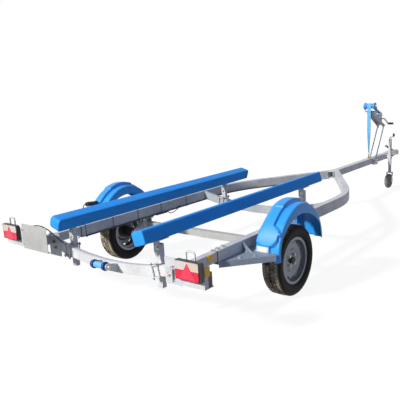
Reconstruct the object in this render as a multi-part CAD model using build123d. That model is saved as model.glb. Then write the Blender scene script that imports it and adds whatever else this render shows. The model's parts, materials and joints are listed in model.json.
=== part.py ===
"""Single-axle boat trailer with two bunks, a winch post and a jockey wheel.

Millimetres. +X points forward to the coupling, +Y to the left, +Z up. Lengths along X are
first measured from the wheel axis and then moved so that the origin lies on the ground,
under the middle of the trailer's length.
"""
import os
from math import asin, atan2, cos, degrees, hypot, radians, sin, sqrt, tan

from build123d import *

# Wheels and tyres
TRACK = 1816.0
TYRE_RADIUS = 273.5
TYRE_WIDTH = 156.0
TREAD_WIDTH = 118.0
TYRE_WALL = 11.0
SHOULDER_DROP = 9.0
SHOULDER_REACH = 10.0
BEAD_LIFT = 3.0
BEAD_FOOT = 15.0
SIDEWALL_RUNS = 3
LINER_RUNS = 2
RIM_SEAT_RADIUS = 165.0
RIM_FLANGE_RADIUS = 182.0
RIM_WIDTH = 124.0
RIM_WALL = 4.0
RIM_SEAT_WIDTH = 24.0
RIM_WELL_DEPTH = 20.0
RIM_WELL_SLOPE = 10.0
RIM_FRONT_SLOPE = 14.0
DISC_OFFSET = 22.0
DISC_WALL = 5.0
DISC_HOLE_GAP = 0.5
DISC_FLAT_RADIUS = 77.0
DISC_CROWN_RADIUS = 107.0
DISC_CROWN_WIDTH = 15.0
DISC_CROWN_RISE = 14.0
DISC_EDGE_RISE = 2.0
DISC_EDGE_WALL = 9.0
DISC_SLOTS = 12
DISC_SLOT_LENGTH = 30.0
DISC_SLOT_HEIGHT = 12.0
SEAT_CLEARANCE = 0.2
CUT_OVER = 1.0

# Hubs, stub axles and the rubber torsion axle
HUB_RADIUS = 42.0
HUB_FLANGE_RADIUS = 66.0
HUB_FLANGE_WALL = 12.0
HUB_LENGTH = 125.0
HUB_CAP_RADIUS = 27.0
HUB_CAP_LENGTH = 30.0
HUB_CAP_CHAMFER = 8.0
HUB_SIDE_GAP = 1.0
STUB_RADIUS = 15.0
STUB_SHOULDER_RADIUS = 22.5
RUNNING_CLEARANCE = 0.05
END_CLEARANCE = 5.0
AXLE_TUBE = 60.0
AXLE_TUBE_WALL = 5.0
AXLE_LEAD = 130.0
AXLE_DROP = 75.0
ARM_RADIUS = 34.0
ARM_WIDTH = 38.0
ARM_INSET = 15.0
HANGER_LENGTH = 140.0
HANGER_PLATE = 6.0
HANGER_CHEEK_GRIP = 44.0

# Main frame: two bent rails, a drawbar, two sliding rear legs and two bowed crossmembers
WHEEL_STANDOFF = 178.0
RAIL_WIDTH = 60.0
RAIL_HEIGHT = 100.0
RAIL_WALL = 4.0
RAIL_TOP = 505.0
RAIL_REAR = -680.0
RAIL_BEND_START = 1190.0
RAIL_BEND_RADIUS = 1250.0
RAIL_BEND_ANGLE = 30.0
DRAWBAR_SIZE = 80.0
DRAWBAR_WALL = 4.0
DRAWBAR_TAIL = 40.0
DRAWBAR_FRONT = 4650.0
LEG_REAR = -1142.0
LEG_ROOM_BELOW = 20.0
LEG_CAP_WALL = 4.0
LEG_CAP_MARGIN = 2.0
LEG_CAP_RISE = 20.0
LEG_INSERT = 280.0
LEG_WALL = 3.0
LEG_CLEARANCE = 0.5
CROSS_DEPTH = 40.0
CROSS_HEIGHT = 75.0
CROSS_WALL = 3.0
CROSS_LOW_TOP = 403.0
CROSS_RADIUS = 2600.0
REAR_CROSS_X = -1000.0
FRONT_CROSS_X = 1000.0
CORNER_PLATE_WIDTH = 140.0
CORNER_PLATE_HEIGHT = 183.0
CORNER_PLATE_RISE = 30.0
CORNER_PLATE_WALL = 6.0
CORNER_SLOT_LENGTH = 42.0
CORNER_SLOT_HEIGHT = 12.0
CORNER_SLOT_SPACING = 46.0

# Bunks, their posts, swivel brackets and clamps
BUNK_REAR = -1110.0
BUNK_LENGTH = 2480.0
BUNK_WIDTH = 110.0
BUNK_HEIGHT = 100.0
BUNK_TILT = 17.0
BUNK_ROUND = 22.0
BUNK_EDGE_OUT = 10.0
BUNK_RISE = 275.2
POST_SIZE = 40.0
POST_WALL = 3.0
POST_INSET = 262.0
POST_BELOW = 95.0
POST_HEADROOM = 14.0
BRACKET_LENGTH = 120.0
BRACKET_WIDTH = 76.0
BRACKET_WALL = 6.0
BRACKET_WEB_DROP = 105.0
BRACKET_WEB_REACH = 34.0
CLAMP_WALL = 8.0
CLAMP_MARGIN = 14.0
CLAMP_ROD_RADIUS = 5.0
CLAMP_ROD_END = 14.0
CLAMP_SLACK = 0.6
CLAMP_HOLE_SLACK = 2.0

# Mudguards and the plates that carry them
GUARD_WIDTH = 190.0
GUARD_RADIUS = 348.0
GUARD_CENTRE_Z = 385.0
GUARD_OUTBOARD = 27.0
GUARD_WALL = 4.0
GUARD_STRIP_WIDTH = 65.0
GUARD_STEP_SLOPE = 5.0
GUARD_EDGE_ROUND = 12.0
GUARD_SKIRT_GAP = 97.5
WING_Z = 428.0
WING_WALL = 4.0
WING_LIP = 44.0
WING_INNER_REACH = 40.0
WING_INNER_END = -260.0
WING_GAP = 0.4
WING_LIP_LEAD = 20.0
GUSSET_X = -395.0
GUSSET_REACH = 90.0
GUSSET_RISE = 76.0
GUARD_BRACKET_X = 300.0
GUARD_BRACKET_WIDTH = 60.0
GUARD_BRACKET_Z = 480.0
GUARD_BRACKET_RISE = 80.0
GUARD_BRACKET_WALL = 5.0

# Rear lamps, number plate carrier, reflectors
LAMP_WIDTH = 200.0
LAMP_HEIGHT = 122.0
LAMP_STANDOFF = 82.0
LAMP_BOTTOM = 491.0
LAMP_ROUND = 10.0
LENS_DEPTH = 8.0
LENS_INSET = 4.0
HOUSING_DEPTH = 29.0
LAMP_BEHIND_LEG = 29.0
LAMP_PLATE_WALL = 4.0
LAMP_PLATE_INSET = 30.0
CARRIER_PLATE_INSET = 50.0
LAMP_PLATE_BELOW = 49.0
LAMP_PLATE_DROP = 13.0
LAMP_SHELF_LENGTH = 81.0
LAMP_FOOT_START = 6.0
LAMP_FLANGE = 31.0
LAMP_FLANGE_DROP = 15.0
HANDLE_RADIUS = 3.5
HANDLE_WIDTH = 66.0
HANDLE_RISE = 63.0
HANDLE_BEND = 14.0
HANDLE_WELD = 15.0
MARKER_WIDTH = 32.0
MARKER_LENGTH = 37.0
MARKER_HEIGHT = 92.0
AMBER_LENGTH = 42.0
AMBER_HEIGHT = 60.0
AMBER_RISE = 29.0
AMBER_WALL = 6.0
PLATE_WIDTH = 322.0
PLATE_HEIGHT = 200.0
PLATE_BOTTOM = 432.0
PLATE_WALL = 3.0
PLATE_FLANGE = 22.0
PLATE_FLANGE_SHORT = 40.0
PLATE_LAMP_GAP = 33.0
PLATE_HOLE_RADIUS = 3.5
PLATE_HOLE_SPACING = 240.0
REFLECTOR_LENGTH = 66.0
REFLECTOR_HEIGHT = 42.0
REFLECTOR_WALL = 7.0
REFLECTOR_DROP = 2.0
REFLECTOR_X = -762.0

# Keel roller behind the rear crossmember
KEEL_ROLLER_LENGTH = 156.0
KEEL_ROLLER_RADIUS = 37.0
KEEL_ROLLER_WAIST = 26.0
KEEL_FLANGE = 20.0
KEEL_BEHIND = 87.0
KEEL_PIN_Z = 398.0
KEEL_PIN_RADIUS = 8.0
KEEL_EAR_WALL = 6.0
KEEL_EAR_RADIUS = 24.0
KEEL_SIDE_GAP = 5.0
KEEL_PIN_END = 12.0
KEEL_FOOT_INSET = 6.0

# Winch post, arm, bow roller, winch and strap
POST_FOOT_X = 3960.0
POST_FOOT_Z = 440.0
POST_HEAD_X = 4300.0
POST_HEAD_Z = 948.0
POST_BAR_WIDTH = 40.0
POST_BAR_WALL = 6.0
POST_CLAMP_LENGTH = 130.0
POST_CLAMP_WALL = 6.0
POST_CLAMP_BELOW = 18.0
POST_CLAMP_BOLT_RADIUS = 6.0
POST_CLAMP_BOLT_INSET = 20.0
POST_CLAMP_BOLT_END = 10.0
WINCH_ARM_HEAD_X = 3915.0
WINCH_ARM_HEAD_Z = 1160.0
WINCH_ARM_FLANGE = 50.0
WINCH_ARM_WALL = 4.0
WINCH_ARM_TAIL = 30.0
BOW_ROLLER_X = 3880.0
BOW_ROLLER_Z = 1230.0
BOW_ROLLER_LENGTH = 156.0
BOW_ROLLER_RADIUS = 47.0
BOW_ROLLER_WAIST = 33.0
BOW_FLANGE = 30.0
BOW_PIN_RADIUS = 8.0
BOW_EAR_WALL = 5.0
BOW_EAR_RADIUS = 18.0
BOW_SIDE_GAP = 5.0
BOW_PIN_END = 14.0
WINCH_SHARE = 0.36
WINCH_LENGTH = 170.0
WINCH_TOP_LENGTH = 75.0
WINCH_RISE = 112.0
WINCH_PLATE = 3.0
WINCH_INNER_WIDTH = 66.0
DRUM_RISE = 66.0
DRUM_RADIUS = 16.0
DRUM_END_GAP = 0.5
SHAFT_SLACK = 0.3
GEAR_MODULE = 3.0
GEAR_TEETH = 32
PINION_TEETH = 10
PINION_BELOW = 25.0
GEAR_WALL = 5.5
GEAR_SLACK = 0.4
TOOTH_ADDENDUM = 0.8
TOOTH_DEDENDUM = 1.2
TOOTH_ROOT_SHARE = 0.31
TOOTH_TIP_SHARE = 0.13
SPOOL_RADIUS = 38.0
STRAP_WIDTH = 50.0
STRAP_WALL = 3.0
STRAP_GAP = 0.5
WINCH_SHAFT_RADIUS = 8.0
WINCH_SHAFT_OUT = 34.0
CRANK_LENGTH = 170.0
CRANK_WIDTH = 22.0
CRANK_WALL = 8.0
GRIP_RADIUS = 14.0
GRIP_LENGTH = 70.0
EYE_HEIGHT = 88.0
EYE_RADIUS = 17.0
EYE_WALL = 8.0
EYE_HOLE_RADIUS = 9.0
EYE_FOOT_LENGTH = 70.0
EYE_FOOT_WIDTH = 40.0
EYE_FOOT_WALL = 6.0

# Jockey wheel and its clamp
JOCKEY_X = 4400.0
JOCKEY_OUT = 60.0
JOCKEY_TUBE_RADIUS = 24.0
JOCKEY_TUBE_WALL = 3.0
JOCKEY_CAP_WALL = 6.0
JOCKEY_TUBE_TOP = 722.0
JOCKEY_TUBE_BOTTOM = 345.0
JOCKEY_INNER_TOP = 560.0
JOCKEY_INNER_WALL = 3.0
JOCKEY_PLUG = 40.0
JOCKEY_CROWN_Z = 232.0
JOCKEY_CROWN_WALL = 10.0
JOCKEY_KING_RADIUS = 10.0
JOCKEY_WHEEL_RADIUS = 105.0
JOCKEY_WHEEL_WIDTH = 62.0
JOCKEY_HUB_RADIUS = 26.0
JOCKEY_HUB_SLOPE = 8.0
JOCKEY_WEB_INSET = 12.0
JOCKEY_TYRE_DEPTH = 38.0
JOCKEY_TYRE_SLOPE = 6.0
JOCKEY_TYRE_LIP = 2.0
JOCKEY_SHOULDER = 8.0
JOCKEY_TREAD_WIDTH = 22.0
JOCKEY_TYRE_RUNS = 2
JOCKEY_TRAIL = 42.0
JOCKEY_AXLE_RADIUS = 6.0
FORK_WALL = 6.0
FORK_GAP = 6.0
FORK_ARM_WIDTH = 34.0
FORK_SHOULDER = 20.0
FORK_AXLE_END = 8.0
CLAMP_RING_WALL = 8.0
CLAMP_RING_HEIGHT = 70.0
CLAMP_BRIDGE_WIDTH = 36.0
CLAMP_FLANGE_LENGTH = 86.0
CLAMP_LEVER_ROOT = 2.0
CLAMP_LEVER_RADIUS = 5.0
CLAMP_LEVER_LENGTH = 120.0
JOCKEY_CRANK_RISE = 20.0
JOCKEY_CRANK_REACH = 150.0
JOCKEY_CRANK_RADIUS = 7.0
JOCKEY_KNOB_RADIUS = 14.0
JOCKEY_KNOB_LENGTH = 42.0

# Ball coupling
BALL_X = 4915.0
SOCKET_RADIUS = 25.2
SOCKET_DEPTH = 42.0
SOCKET_OVER = 0.002
HEAD_RADIUS = 46.0
HEAD_BOTTOM = 428.0
HEAD_TOP = 500.0
HEAD_ROUND = 18.0
NECK_REAR = 4590.0
NECK_WALL = 6.0
NECK_ROUND = 6.0
NECK_FRONT_ROUND = 14.0
NECK_FRONT_WIDTH = 62.0
NECK_FRONT_HEIGHT = 58.0
LEVER_PIVOT_X = 4790.0
LEVER_LUG_LENGTH = 44.0
LEVER_RISE = 95.0
LEVER_LENGTH = 300.0
LEVER_WIDTH = 26.0
LEVER_WALL = 8.0
LEVER_GRIP_LENGTH = 90.0
LEVER_GRIP_RADIUS = 15.0

# Wiring conduit along the left rail
LOOM_RADIUS = 6.5
LOOM_REAR = -640.0
LOOM_FRONT_RUN = 620.0
LOOM_GAP = 0.3

# Derived places
WHEEL_Y = TRACK / 2
AXLE_Z = TYRE_RADIUS
RAIL_Y = WHEEL_Y - WHEEL_STANDOFF
RAIL_BOTTOM = RAIL_TOP - RAIL_HEIGHT
RAIL_OUTER_Y = RAIL_Y + RAIL_WIDTH / 2
RAIL_INNER_Y = RAIL_Y - RAIL_WIDTH / 2
LEG_WIDTH = RAIL_WIDTH - 2 * RAIL_WALL - 2 * LEG_CLEARANCE
LEG_HEIGHT = RAIL_HEIGHT - 2 * RAIL_WALL - LEG_ROOM_BELOW
LEG_TOP = RAIL_TOP - RAIL_WALL
LEG_BOTTOM = LEG_TOP - LEG_HEIGHT
LEG_INNER_Y = RAIL_Y - LEG_WIDTH / 2
LEG_OUTER_Y = RAIL_Y + LEG_WIDTH / 2
DRAWBAR_HALF = DRAWBAR_SIZE / 2
DRAWBAR_BOTTOM = RAIL_TOP - DRAWBAR_SIZE
POST_Y = RAIL_Y - POST_INSET
BUNK_EDGE_Y = POST_Y + BUNK_EDGE_OUT
BEND = radians(RAIL_BEND_ANGLE)
BEND_END_X = RAIL_BEND_START + RAIL_BEND_RADIUS * sin(BEND)
BEND_END_Y = RAIL_Y - RAIL_BEND_RADIUS * (1 - cos(BEND))
RAIL_MEETS_X = BEND_END_X + (BEND_END_Y - DRAWBAR_HALF - RAIL_WIDTH / 2 / cos(BEND)) / tan(BEND)
DRAWBAR_REAR = RAIL_MEETS_X - DRAWBAR_TAIL
LAMP_PLATE_X = LEG_REAR - LAMP_BEHIND_LEG
LAMP_BACK_X = LAMP_PLATE_X - LAMP_PLATE_WALL
REAR_END = LAMP_BACK_X - HOUSING_DEPTH - LENS_DEPTH
FRONT_END = BALL_X + HEAD_RADIUS
ORIGIN_X = (REAR_END + FRONT_END) / 2
SIDES = {"left": 1, "right": -1}

nodes = {}


def keep(name, *solids):
    """Store a node, moved into the trailer's own frame."""
    moved = [Pos(-ORIGIN_X, 0, 0) * solid for solid in solids]
    nodes[name] = moved[0] if len(moved) == 1 else Compound(children=moved)


def block(x0, x1, y0, y1, z0, z1):
    """A straight-sided bar or plate between two corners."""
    return Pos((x0 + x1) / 2, (y0 + y1) / 2, (z0 + z1) / 2) * Box(x1 - x0, abs(y1 - y0), z1 - z0)


def on_side(side, solid):
    """A piece drawn on the left, or its mirror image on the right."""
    return solid if side > 0 else mirror(solid, about=Plane.XZ)


def tube_x(x0, x1, y, z, width, height, wall):
    """A rectangular tube along X, open at both ends."""
    outer = Pos((x0 + x1) / 2, y, z) * Box(x1 - x0, width, height)
    bore = Pos((x0 + x1) / 2, y, z) * Box(x1 - x0 + 2 * CUT_OVER, width - 2 * wall, height - 2 * wall)
    return outer - bore


def rod_y(x, z, y0, y1, radius):
    """A round bar across the trailer."""
    return Pos(x, (y0 + y1) / 2, z) * Rot(90, 0, 0) * Cylinder(radius, abs(y1 - y0))


def turned(profile, x, y, z):
    """A profile of (radius, distance along Y) turned about a transverse axis."""
    return Pos(x, y, z) * revolve(profile, Axis.Y)


def polygon(points, plane):
    return plane * make_face(Polyline(*points, close=True))


def chords(arc, runs):
    """The ends of equal straight runs along an arc drawn in a plane."""
    points = [arc @ (index / runs) for index in range(runs + 1)]
    return [(point.X, point.Y) for point in points]


def side_plate(points, y0, y1):
    """An (x, z) outline as a plate between two distances from the middle."""
    face = polygon(points, Plane.XZ)
    return Pos(0, max(y0, y1), 0) * extrude(face, abs(y1 - y0))


def cross_plate(points, x0, x1):
    """A (y, z) outline as a plate between two stations along the trailer."""
    return Pos(x0, 0, 0) * extrude(polygon(points, Plane.YZ), x1 - x0)


def flat_plate(points, z0, z1):
    """An (x, y) outline as a plate between two heights."""
    return Pos(0, 0, z0) * extrude(polygon(points, Plane.XY), z1 - z0)


def rail_band(margin):
    """Plan outline of a bent rail, narrower than the rail by a margin on each side."""
    half = RAIL_WIDTH / 2 - margin
    past = BEND_END_Y / sin(BEND)
    tip_x = BEND_END_X + past * cos(BEND)
    tip_y = BEND_END_Y - past * sin(BEND)
    centre_y = RAIL_Y - RAIL_BEND_RADIUS
    edges = []
    for side in (half, -half):
        radius = RAIL_BEND_RADIUS + side
        start = (RAIL_BEND_START, centre_y + radius)
        middle = (RAIL_BEND_START + radius * sin(BEND / 2), centre_y + radius * cos(BEND / 2))
        end = (RAIL_BEND_START + radius * sin(BEND), centre_y + radius * cos(BEND))
        tip = (tip_x + side * sin(BEND), tip_y + side * cos(BEND))
        rear = (RAIL_REAR, RAIL_Y + side)
        edges.append((rear, start, middle, end, tip))
    out, inn = edges
    lines = [Line(out[0], out[1]), ThreePointArc(out[1], out[2], out[3]), Line(out[3], out[4]),
             Line(out[4], inn[4]), Line(inn[4], inn[3]), ThreePointArc(inn[3], inn[2], inn[1]),
             Line(inn[1], inn[0]), Line(inn[0], out[0])]
    return make_face(Wire(lines))


def rail():
    """A bent rectangular tube, open at the rear and cut off against the drawbar's side."""
    outer = Pos(0, 0, RAIL_BOTTOM) * extrude(rail_band(0), RAIL_HEIGHT)
    bore = Pos(0, 0, RAIL_BOTTOM + RAIL_WALL) * extrude(rail_band(RAIL_WALL), RAIL_HEIGHT - 2 * RAIL_WALL)
    keep_off = block(RAIL_REAR, DRAWBAR_FRONT, -RAIL_Y, DRAWBAR_HALF,
                     RAIL_BOTTOM - CUT_OVER, RAIL_TOP + CUT_OVER)
    return outer - bore - keep_off


def arc_band(half_width, margin, depth):
    """A bowed crossmember's outline in (y, z), lowest at the middle, given its depth along X."""
    centre_z = CROSS_LOW_TOP + CROSS_RADIUS
    top = CROSS_RADIUS + margin
    bottom = CROSS_RADIUS + CROSS_HEIGHT - margin

    def point(radius, y):
        return (y, centre_z - sqrt(radius ** 2 - y ** 2))

    lines = [ThreePointArc(point(top, -half_width), point(top, 0), point(top, half_width)),
             Line(point(top, half_width), point(bottom, half_width)),
             ThreePointArc(point(bottom, half_width), point(bottom, 0), point(bottom, -half_width)),
             Line(point(bottom, -half_width), point(top, -half_width))]
    return extrude(Plane.YZ * make_face(Wire(lines)), depth)


def crossmember(x, half_width):
    outer = Pos(x, 0, 0) * arc_band(half_width, 0, CROSS_DEPTH)
    bore = Pos(x + CROSS_WALL, 0, 0) * arc_band(half_width, CROSS_WALL, CROSS_DEPTH - 2 * CROSS_WALL)
    return outer - bore


def cross_top(y):
    """Height of a crossmember's top face at a distance from the middle."""
    return CROSS_LOW_TOP + CROSS_RADIUS - sqrt(CROSS_RADIUS ** 2 - y ** 2)


def cross_bottom(y):
    """Height of a crossmember's bottom face at a distance from the middle."""
    lower = CROSS_RADIUS + CROSS_HEIGHT
    return CROSS_LOW_TOP + CROSS_RADIUS - sqrt(lower ** 2 - y ** 2)


def leg():
    """A tube that slides in the rail, closed by a plate at its rear end."""
    tube = tube_x(LEG_REAR, RAIL_REAR + LEG_INSERT, RAIL_Y, LEG_BOTTOM + LEG_HEIGHT / 2,
                  LEG_WIDTH, LEG_HEIGHT, LEG_WALL)
    cap = block(LEG_REAR - LEG_CAP_WALL, LEG_REAR, LEG_INNER_Y - LEG_CAP_MARGIN,
                LEG_OUTER_Y + LEG_CAP_MARGIN, LEG_BOTTOM, LEG_TOP + LEG_CAP_RISE)
    return tube + cap


# Main frame
for name, side in SIDES.items():
    keep(f"rail_{name}", on_side(side, rail()))
    keep(f"leg_{name}", on_side(side, leg()))
keep("drawbar", tube_x(DRAWBAR_REAR, DRAWBAR_FRONT, 0, RAIL_TOP - DRAWBAR_HALF,
                       DRAWBAR_SIZE, DRAWBAR_SIZE, DRAWBAR_WALL))
keep("rear_crossmember", crossmember(REAR_CROSS_X, LEG_INNER_Y))
keep("front_crossmember", crossmember(FRONT_CROSS_X, RAIL_INNER_Y))


def corner_plate():
    """The slotted plate that ties a rear leg to the crossmember."""
    top = LEG_TOP + CORNER_PLATE_RISE
    y0 = LEG_INNER_Y - CORNER_PLATE_WIDTH
    plate = block(REAR_CROSS_X - CORNER_PLATE_WALL, REAR_CROSS_X, y0, LEG_INNER_Y,
                  top - CORNER_PLATE_HEIGHT, top)
    slot = extrude(Plane.YZ * SlotOverall(CORNER_SLOT_LENGTH, CORNER_SLOT_HEIGHT), CORNER_PLATE_WALL * 3)
    for offset in (-CORNER_SLOT_SPACING / 2, CORNER_SLOT_SPACING / 2):
        place = Pos(REAR_CROSS_X - CORNER_PLATE_WALL * 2, y0 + CORNER_PLATE_WIDTH / 2,
                    top - CORNER_PLATE_HEIGHT / 2 + offset)
        plate = plate - place * slot
    return plate


keep("corner_plates", *[on_side(side, corner_plate()) for side in SIDES.values()])

# Bunks: the section leans inwards to meet a V-shaped hull
TILT = radians(BUNK_TILT)
BUNK_CENTRE_Y = BUNK_EDGE_Y - BUNK_WIDTH / 2 * cos(TILT) + BUNK_HEIGHT / 2 * sin(TILT)
BUNK_EDGE_Z = cross_top(POST_Y) + BUNK_RISE
BUNK_CENTRE_Z = BUNK_EDGE_Z - BUNK_WIDTH / 2 * sin(TILT) - BUNK_HEIGHT / 2 * cos(TILT)


def bunk_under(y, below=0.0):
    """Height of the plane a distance below a bunk's underside."""
    base_y = BUNK_CENTRE_Y + BUNK_HEIGHT / 2 * sin(TILT)
    base_z = BUNK_CENTRE_Z - BUNK_HEIGHT / 2 * cos(TILT)
    return base_z + (y - base_y) * tan(TILT) - below / cos(TILT)


def bunk():
    section = RectangleRounded(BUNK_WIDTH, BUNK_HEIGHT, BUNK_ROUND)
    bar = extrude(Plane.YZ * section, BUNK_LENGTH)
    return Pos(BUNK_REAR, BUNK_CENTRE_Y, BUNK_CENTRE_Z) * Rot(BUNK_TILT, 0, 0) * bar


for name, side in SIDES.items():
    keep(f"bunk_{name}", on_side(side, bunk()))

POST_TOP = bunk_under(POST_Y - POST_SIZE / 2, BRACKET_WALL) - POST_HEADROOM
POST_BOTTOM = cross_bottom(POST_Y) - POST_BELOW


def bunk_post(x):
    outer = block(x, x + POST_SIZE, POST_Y - POST_SIZE / 2, POST_Y + POST_SIZE / 2, POST_BOTTOM, POST_TOP)
    inner = POST_SIZE / 2 - POST_WALL
    bore = block(x + POST_WALL, x + POST_SIZE - POST_WALL, POST_Y - inner, POST_Y + inner,
                 POST_BOTTOM - CUT_OVER, POST_TOP + CUT_OVER)
    return outer - bore


def bunk_bracket(x):
    """A plate under the bunk with a web down the rear face of its post."""
    half = BRACKET_WIDTH / 2 * cos(TILT)
    rear = x + POST_SIZE / 2 - BRACKET_LENGTH / 2
    plate = cross_plate([(POST_Y - half, bunk_under(POST_Y - half)),
                         (POST_Y + half, bunk_under(POST_Y + half)),
                         (POST_Y + half, bunk_under(POST_Y + half, BRACKET_WALL)),
                         (POST_Y - half, bunk_under(POST_Y - half, BRACKET_WALL))],
                        rear, rear + BRACKET_LENGTH)
    foot = POST_TOP - BRACKET_WEB_DROP
    inboard = POST_Y - BRACKET_WEB_REACH
    web = cross_plate([(POST_Y - POST_SIZE / 2, foot), (POST_Y + POST_SIZE / 2, foot),
                       (POST_Y + POST_SIZE / 2, bunk_under(POST_Y + POST_SIZE / 2, BRACKET_WALL)),
                       (inboard, bunk_under(inboard, BRACKET_WALL)),
                       (inboard, POST_TOP - BRACKET_WEB_DROP / 2)],
                      x - BRACKET_WALL, x)
    return plate + web


def post_clamp(x):
    """Two plates and four rods that squeeze a post against its crossmember."""
    slope = degrees(asin(POST_Y / CROSS_RADIUS))
    x0 = x - CROSS_DEPTH - CLAMP_MARGIN
    x1 = x + POST_SIZE + CLAMP_MARGIN
    half = POST_SIZE / 2 + CLAMP_MARGIN
    hole_half = POST_SIZE / 2 + CLAMP_HOLE_SLACK
    hole = block(x - CLAMP_SLACK, x + POST_SIZE + CLAMP_SLACK, -hole_half, hole_half,
                 -CROSS_HEIGHT, CROSS_HEIGHT)
    upper = block(x0, x1, -half, half, CLAMP_SLACK, CLAMP_SLACK + CLAMP_WALL) - hole
    lower_top = -CROSS_HEIGHT - CLAMP_SLACK
    lower = block(x0, x1, -half, half, lower_top - CLAMP_WALL, lower_top)
    lower = lower - Pos(0, lower_top * tan(radians(slope)), lower_top) * hole
    clamp = upper + lower
    rod_top = CLAMP_SLACK + CLAMP_WALL + CLAMP_ROD_END
    rod_bottom = lower_top - CLAMP_WALL - CLAMP_ROD_END
    inset = CLAMP_MARGIN / 2
    for rod_x in (x0 + inset, x1 - inset):
        for rod_y_place in (-half + inset, half - inset):
            rod = Cylinder(CLAMP_ROD_RADIUS, rod_top - rod_bottom)
            clamp = clamp + Pos(rod_x, rod_y_place, (rod_top + rod_bottom) / 2) * rod
    return Pos(0, POST_Y, cross_top(POST_Y)) * Rot(slope, 0, 0) * clamp


posts, brackets, clamps = [], [], []
for cross_x in (REAR_CROSS_X, FRONT_CROSS_X):
    post_x = cross_x + CROSS_DEPTH
    for side in SIDES.values():
        posts.append(on_side(side, bunk_post(post_x)))
        brackets.append(on_side(side, bunk_bracket(post_x)))
        clamps.append(on_side(side, post_clamp(post_x)))
keep("bunk_posts", *posts)
keep("bunk_brackets", *brackets)
keep("post_clamps", *clamps)

# Torsion axle under the rails
TORSION_Z = RAIL_BOTTOM - AXLE_DROP
HANGER_TOP = RAIL_BOTTOM
ARM_INNER_Y = RAIL_OUTER_Y - ARM_INSET
ARM_OUTER_Y = ARM_INNER_Y + ARM_WIDTH
DISC_Y = WHEEL_Y + DISC_OFFSET
HUB_INNER_Y = DISC_Y - HUB_LENGTH


def axle_tube():
    z0, z1 = TORSION_Z - AXLE_TUBE / 2, TORSION_Z + AXLE_TUBE / 2
    x0, x1 = AXLE_LEAD - AXLE_TUBE / 2, AXLE_LEAD + AXLE_TUBE / 2
    wall = AXLE_TUBE_WALL
    outer = block(x0, x1, -ARM_INNER_Y, ARM_INNER_Y, z0, z1)
    bore_end = ARM_INNER_Y + CUT_OVER
    return outer - block(x0 + wall, x1 - wall, -bore_end, bore_end, z0 + wall, z1 - wall)


def axle_hanger():
    """A plate under the rail with two cheeks that grip the axle tube."""
    x0 = AXLE_LEAD - HANGER_LENGTH / 2
    x1 = AXLE_LEAD + HANGER_LENGTH / 2
    hanger = block(x0, x1, RAIL_INNER_Y, RAIL_OUTER_Y, HANGER_TOP - HANGER_PLATE, HANGER_TOP)
    cheek_bottom = TORSION_Z + AXLE_TUBE / 2 - HANGER_CHEEK_GRIP
    y1 = min(RAIL_OUTER_Y, ARM_INNER_Y)
    for cheek_x in (AXLE_LEAD - AXLE_TUBE / 2 - HANGER_PLATE, AXLE_LEAD + AXLE_TUBE / 2):
        hanger = hanger + block(cheek_x, cheek_x + HANGER_PLATE, RAIL_INNER_Y, y1,
                                cheek_bottom, HANGER_TOP - HANGER_PLATE)
    return hanger


def torsion_arm():
    """A trailing lever with the stub axle forged at its end."""
    reach = hypot(AXLE_LEAD, TORSION_Z - AXLE_Z)
    angle = degrees(atan2(TORSION_Z - AXLE_Z, AXLE_LEAD))
    outline = Plane.XZ * SlotCenterToCenter(reach, ARM_RADIUS * 2)
    lever = extrude(outline, ARM_WIDTH)
    lever = Pos(AXLE_LEAD / 2, ARM_OUTER_Y, (TORSION_Z + AXLE_Z) / 2) * Rot(0, -angle, 0) * lever
    shoulder = rod_y(0, AXLE_Z, ARM_OUTER_Y, HUB_INNER_Y - HUB_SIDE_GAP, STUB_SHOULDER_RADIUS)
    stub = rod_y(0, AXLE_Z, ARM_OUTER_Y, DISC_Y - END_CLEARANCE, STUB_RADIUS)
    return lever + shoulder + stub


keep("axle_tube", axle_tube())
keep("axle_hangers", *[on_side(side, axle_hanger()) for side in SIDES.values()])
for name, side in SIDES.items():
    keep(f"torsion_arm_{name}", on_side(side, torsion_arm()))


# Wheels: distances along the axis run outwards from the wheel's middle plane
def hub():
    bore = STUB_RADIUS + RUNNING_CLEARANCE
    face = DISC_OFFSET
    inner = face - HUB_LENGTH
    cap_end = face + HUB_CAP_LENGTH
    points = [(bore, inner), (HUB_RADIUS, inner), (HUB_RADIUS, face - HUB_FLANGE_WALL),
              (HUB_FLANGE_RADIUS, face - HUB_FLANGE_WALL), (HUB_FLANGE_RADIUS, face),
              (HUB_CAP_RADIUS, face), (HUB_CAP_RADIUS, cap_end - HUB_CAP_CHAMFER),
              (HUB_CAP_RADIUS - HUB_CAP_CHAMFER, cap_end), (0, cap_end), (0, face), (bore, face)]
    return turned(polygon(points, Plane.XY), 0, WHEEL_Y, AXLE_Z)


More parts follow.
